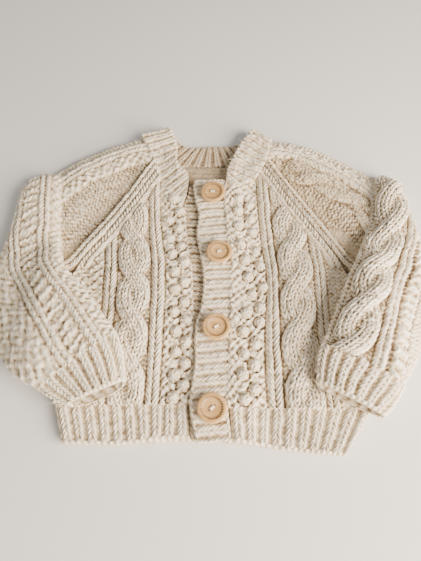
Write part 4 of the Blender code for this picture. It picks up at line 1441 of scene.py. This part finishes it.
def hairTree(material):
    tree, given = newTree("hairs on cloth", {
        "Start": "Geometry", "Cloth": "Object", "Hair": "Object", "Density": "Float", "Seed": "Int"})
    cloth = addNode(tree, "GeometryNodeObjectInfo", {"Object": given["Cloth"]}).outputs["Geometry"]
    hair = addNode(tree, "GeometryNodeObjectInfo", {"Object": given["Hair"]}).outputs["Geometry"]
    depth = addNode(tree, "GeometryNodeInputNamedAttribute", {"Name": "cavity"}, data_type="FLOAT")
    raised = addNode(tree, "FunctionNodeCompare", {0: depth.outputs[0], 1: fuzz["above"]},
                     data_type="FLOAT", operation="GREATER_THAN")
    spread = addNode(tree, "GeometryNodeDistributePointsOnFaces", {
        "Mesh": cloth, "Selection": raised.outputs[0], "Density": given["Density"], "Seed": given["Seed"]})
    tilt = addNode(tree, "FunctionNodeRandomValue", {
        0: (-0.9, -0.9, -3.14), 1: (0.9, 0.9, 3.14), "Seed": given["Seed"]}, data_type="FLOAT_VECTOR")
    turned = addNode(tree, "FunctionNodeRotateRotation", {
        "Rotation": spread.outputs["Rotation"], "Rotate By": tilt.outputs[0]}, rotation_space="LOCAL")
    size = addNode(tree, "FunctionNodeRandomValue", {2: 0.45, 3: 1.15}, data_type="FLOAT")
    return copiesOnPoints(tree, material, spread.outputs["Points"], hair, turned.outputs[0], size.outputs[1])


def makeHairs(cloths):
    hair = linked("hair", hairMesh())
    tree = hairTree(hairWool())
    made = {}
    for index, cloth in enumerate(cloths):
        name = cloth.name.replace("_knit", "") + "_hairs"
        piece = grown(linked(name, bpy.data.meshes.new(name)), tree, Cloth=cloth, Hair=hair,
                      Density=float(fuzz["perSquareMetre"]), Seed=fuzz["seed"] + index)
        points = np.zeros(len(piece.data.vertices) * 3, np.float32)
        piece.data.vertices.foreach_get("co", points)
        points[2::3] = np.clip(points[2::3], fuzz["lowest"] * mm, fuzz["highest"] * mm)
        piece.data.vertices.foreach_set("co", points)
        made[cloth.name] = fitted(piece)
    bpy.data.objects.remove(hair)
    return made


# The room

room = {
    "floor": ("#E1DED8", "#E6E3DE"),
    "sky": "#F3F1EE",
    "skyStrength": 0.46,
    "lens": 27.27,
    "camera": (-0.00075, -0.160, 0.302),
    "tilt": 26.0,
    # place, size, power, colour
    "lights": {"window": ((0.68, -0.46, 0.37), 0.75, 44.0, "#FFF2E2"),
               "fill": ((-0.9, -0.4, 1.1), 1.4, 3.0, "#FFF8F0")},
}


def makeRoom():
    mesh = bpy.data.meshes.new("floor")
    mesh.from_pydata([(-3, -3, 0), (3, -3, 0), (3, 3, 0), (-3, 3, 0)], [], [(0, 1, 2, 3)])
    floor = linked("floor", mesh)
    # a matt painted board, with the faint clouds of a roller
    paint, tree, shader, place = newMaterial("pale matt floor", Roughness=0.85)
    cloud = addNode(tree, "ShaderNodeTexNoise", {"Vector": place, "Scale": 6.0})
    tone = addNode(tree, "ShaderNodeValToRGB", {"Fac": cloud.outputs["Fac"]}, stops=(
        (0.0, room["floor"][0]), (1.0, room["floor"][1])))
    tree.links.new(tone.outputs["Color"], shader.inputs["Base Color"])
    mesh.materials.append(paint)
    world = bpy.data.worlds.new("room")
    world.use_nodes = True
    sky = world.node_tree.nodes["Background"]
    sky.inputs["Color"].default_value = linear(room["sky"])
    sky.inputs["Strength"].default_value = room["skyStrength"]
    bpy.context.scene.world = world
    for name, (place, size, power, colour) in room["lights"].items():
        data = bpy.data.lights.new(name, "AREA")
        data.energy = power
        data.size = size
        data.color = linear(colour)[:3]
        lamp = linked(name, data)
        lamp.location = place
        lamp.rotation_euler = (-Vector(place)).to_track_quat("-Z", "Y").to_euler()
    lens = bpy.data.cameras.new("camera")
    lens.lens = room["lens"]
    lens.sensor_width = 36.0
    lens.clip_start = 0.01
    camera = linked("camera", lens)
    camera.location = room["camera"]
    camera.rotation_euler = (math.radians(room["tilt"]), 0.0, 0.0)
    bpy.context.scene.camera = camera


makeRoom()
cream = plainWool("cream plied wool, hand knitted")
wood = turnedWood()
backPiece = makeBack(cream)
print("back done")
frontPieces = makeFronts(cream)
hemPieces = makeHems(cream)
print("fronts and hems done")
bandPieces = makeBands(cream)
neckPiece = makeNeckband(cream)
print("bands done")
sleevePieces = makeSleeves(cream)
cuffPieces = makeCuffs(cream)
print("sleeves done")
bobblePieces = makeBobbles(cream)
makeButtons(wood, cream)
print("bobbles and buttons done")

hairy = []
for pieces in (frontPieces, sleevePieces, cuffPieces, hemPieces, bandPieces):
    hairy += pieces.values()
hairPieces = makeHairs(hairy + [neckPiece])
print("hairs done")

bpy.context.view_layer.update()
count = sum(len(piece.data.loop_triangles) for piece in bpy.data.objects if piece.type == "MESH")
print("triangles", count)
